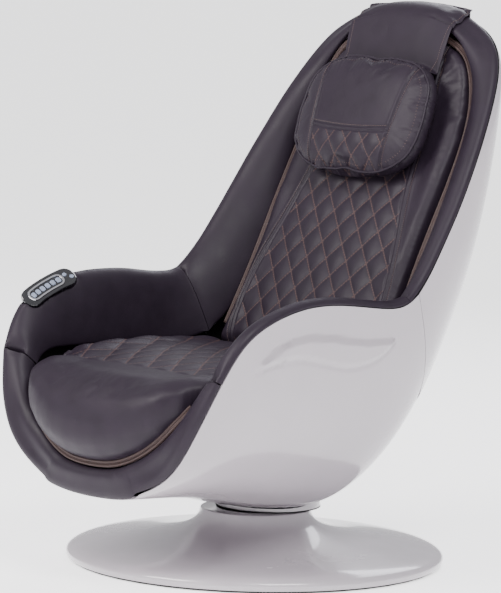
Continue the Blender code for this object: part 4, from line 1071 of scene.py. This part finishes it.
FLAP_FOOT = 0.124            # half width at the pillow
FLAP_REAR = 0.142            # half width over the top
FLAP_CORNER = 0.055
HEM_FROM = 48.0              # the hem's two ends, in degrees about the flap's hub
HEM_TO = 232.0
FLAP_HUB = Vector((0, flap_low.y * 0.42 + flap_high.y * 0.58, flap_high.z - 0.055))
HEM = 7.0 * MM


def over_flap(tree, x, angles):
    """Points on the flap's outside above a line across the hub."""
    spots = []
    ways = []
    for t in angles:
        way = Vector((0, math.cos(t), math.sin(t)))
        hit, face, _, _ = tree.ray_cast(Vector((x, FLAP_HUB.y, FLAP_HUB.z)) + way * 0.3, -way)
        if hit is not None:
            spots.append(hit)
            ways.append(way)
    return spots, ways


tree = skin(flap)
for side, sign in (("left", 1), ("right", -1)):
    spots = []
    ways = []
    for t in np.linspace(math.radians(HEM_FROM), math.radians(HEM_TO), 80):
        lean = (math.radians(HEM_TO) - t) / math.radians(HEM_TO - HEM_FROM)
        half = FLAP_FOOT + (FLAP_REAR - FLAP_FOOT) * lean - HEM
        half -= FLAP_CORNER * max(0.0, (lean - 0.80) / 0.20) ** 2
        hit, way = over_flap(tree, sign * half, [t])
        spots += hit
        ways += way
    stitches("flap_hem_" + side, np.array(spots), np.array(ways), "pillow")
print("flap hemmed")

# %% [markdown]
# ## Padded surround
# The roll round the bucket's rim is cut in four lengths: front, two arms and back. Their
# ends are sewn together, which leaves a fine valley across the roll. The skin is smooth
# here, with long shallow ripples. Relaxing takes the facets off it, and the ends stay
# where they are so that the lengths still meet.

# %% Surround
RELAX_ROUNDS = 40
SEAM_HOLD = 22 * MM          # nearer than this to the next length, the roll keeps its shape
surrounds = []
for seed, part in enumerate(("surround_front", "surround_arm_left", "surround_arm_right",
                             "surround_back")):
    made = smooth_copy(part + "_leather", part, "seat", 3, 75.0)
    wrinkle(made, 1.3 * MM, 0.10, 20.0 + seed)
    surrounds.append(made)
packed = [points(made) for made in surrounds]
for made, before in zip(surrounds, packed):
    others = np.vstack([rows for rows in packed if rows is not before])
    near = kdtree.KDTree(len(others))
    for k, spot in enumerate(others):
        near.insert(spot, k)
    near.balance()
    hold = np.array([near.find(spot)[2] for spot in before])
    relax(made, RELAX_ROUNDS)
    after = points(made)
    place_points(made, before + (after - before) * ease(hold / SEAM_HOLD)[:, None])
print("surround", sum(len(made.data.vertices) for made in surrounds), "points")

# %% [markdown]
# ## Zips
# The covers are taken off by long zips that run in the gap beside the pad and under the
# seat. A zip is two woven tapes whose inner edges carry a coil of teeth. The tape is
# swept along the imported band's own line, and the teeth are set across it. The ends are
# tucked out of sight behind the padding.

# %% Zips
TOOTH_PITCH = 2.6 * MM
ZIP_LIFT = 4.0 * MM
TUCKED = {"back_zip_band": 0.01, "seat_zip_band": 0.13}     # share of each end out of sight
ZIP_SECTION = [(a * MM, b * MM) for a, b in
               ((-6.4, -4.0), (-6.8, 1.5), (-5.4, 4.8), (-3.6, 5.8), (-1.8, 4.6), (-0.8, 2.4),
                (0.8, 2.4), (1.8, 4.6), (3.6, 5.8), (5.4, 4.8), (6.8, 1.5), (6.4, -4.0))]


def band_line(node, start):
    """The middle line of a packed band, read ring by ring from its end at the start."""
    bm = solid_of(node)
    left = set(bm.verts)
    ring = set(sorted(bm.verts, key=lambda v: (v.co - Vector(start)).length)[:4])
    line = []
    while ring:
        left -= ring
        line.append(sum((np.array(v.co) for v in ring), np.zeros(3)) / len(ring))
        ring = {e.other_vert(v) for v in ring for e in v.link_edges} & left
    bm.free()
    return np.array(line)


for node, face in (("back_zip_band", BACK_SHEET[3]), ("seat_zip_band", Vector((0, -1, 0)))):
    low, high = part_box(node)
    start = (low.x, low.y if node.startswith("back") else high.y,
             low.z if node.startswith("back") else high.z)
    line = band_line(node, start)
    line = smooth_line(line, len(line) * 6) + np.array(face) * ZIP_LIFT
    tucked = int(len(line) * TUCKED[node])
    line = line[tucked:len(line) - tucked]
    ways = np.repeat(np.array(face)[None, :], len(line), axis=0)
    tape = sweep(node + "_tapes", line, ways, ZIP_SECTION, "brown_zip_tape", "seat")
    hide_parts(node)
    lifted = line + ways * 3.0 * MM
    stitches(node + "_teeth", lifted, ways, "seat", TOOTH_PITCH, 2.4 * MM, 0.6 * MM, slant=1.0)
    print(node, "rings", len(line) // 6)
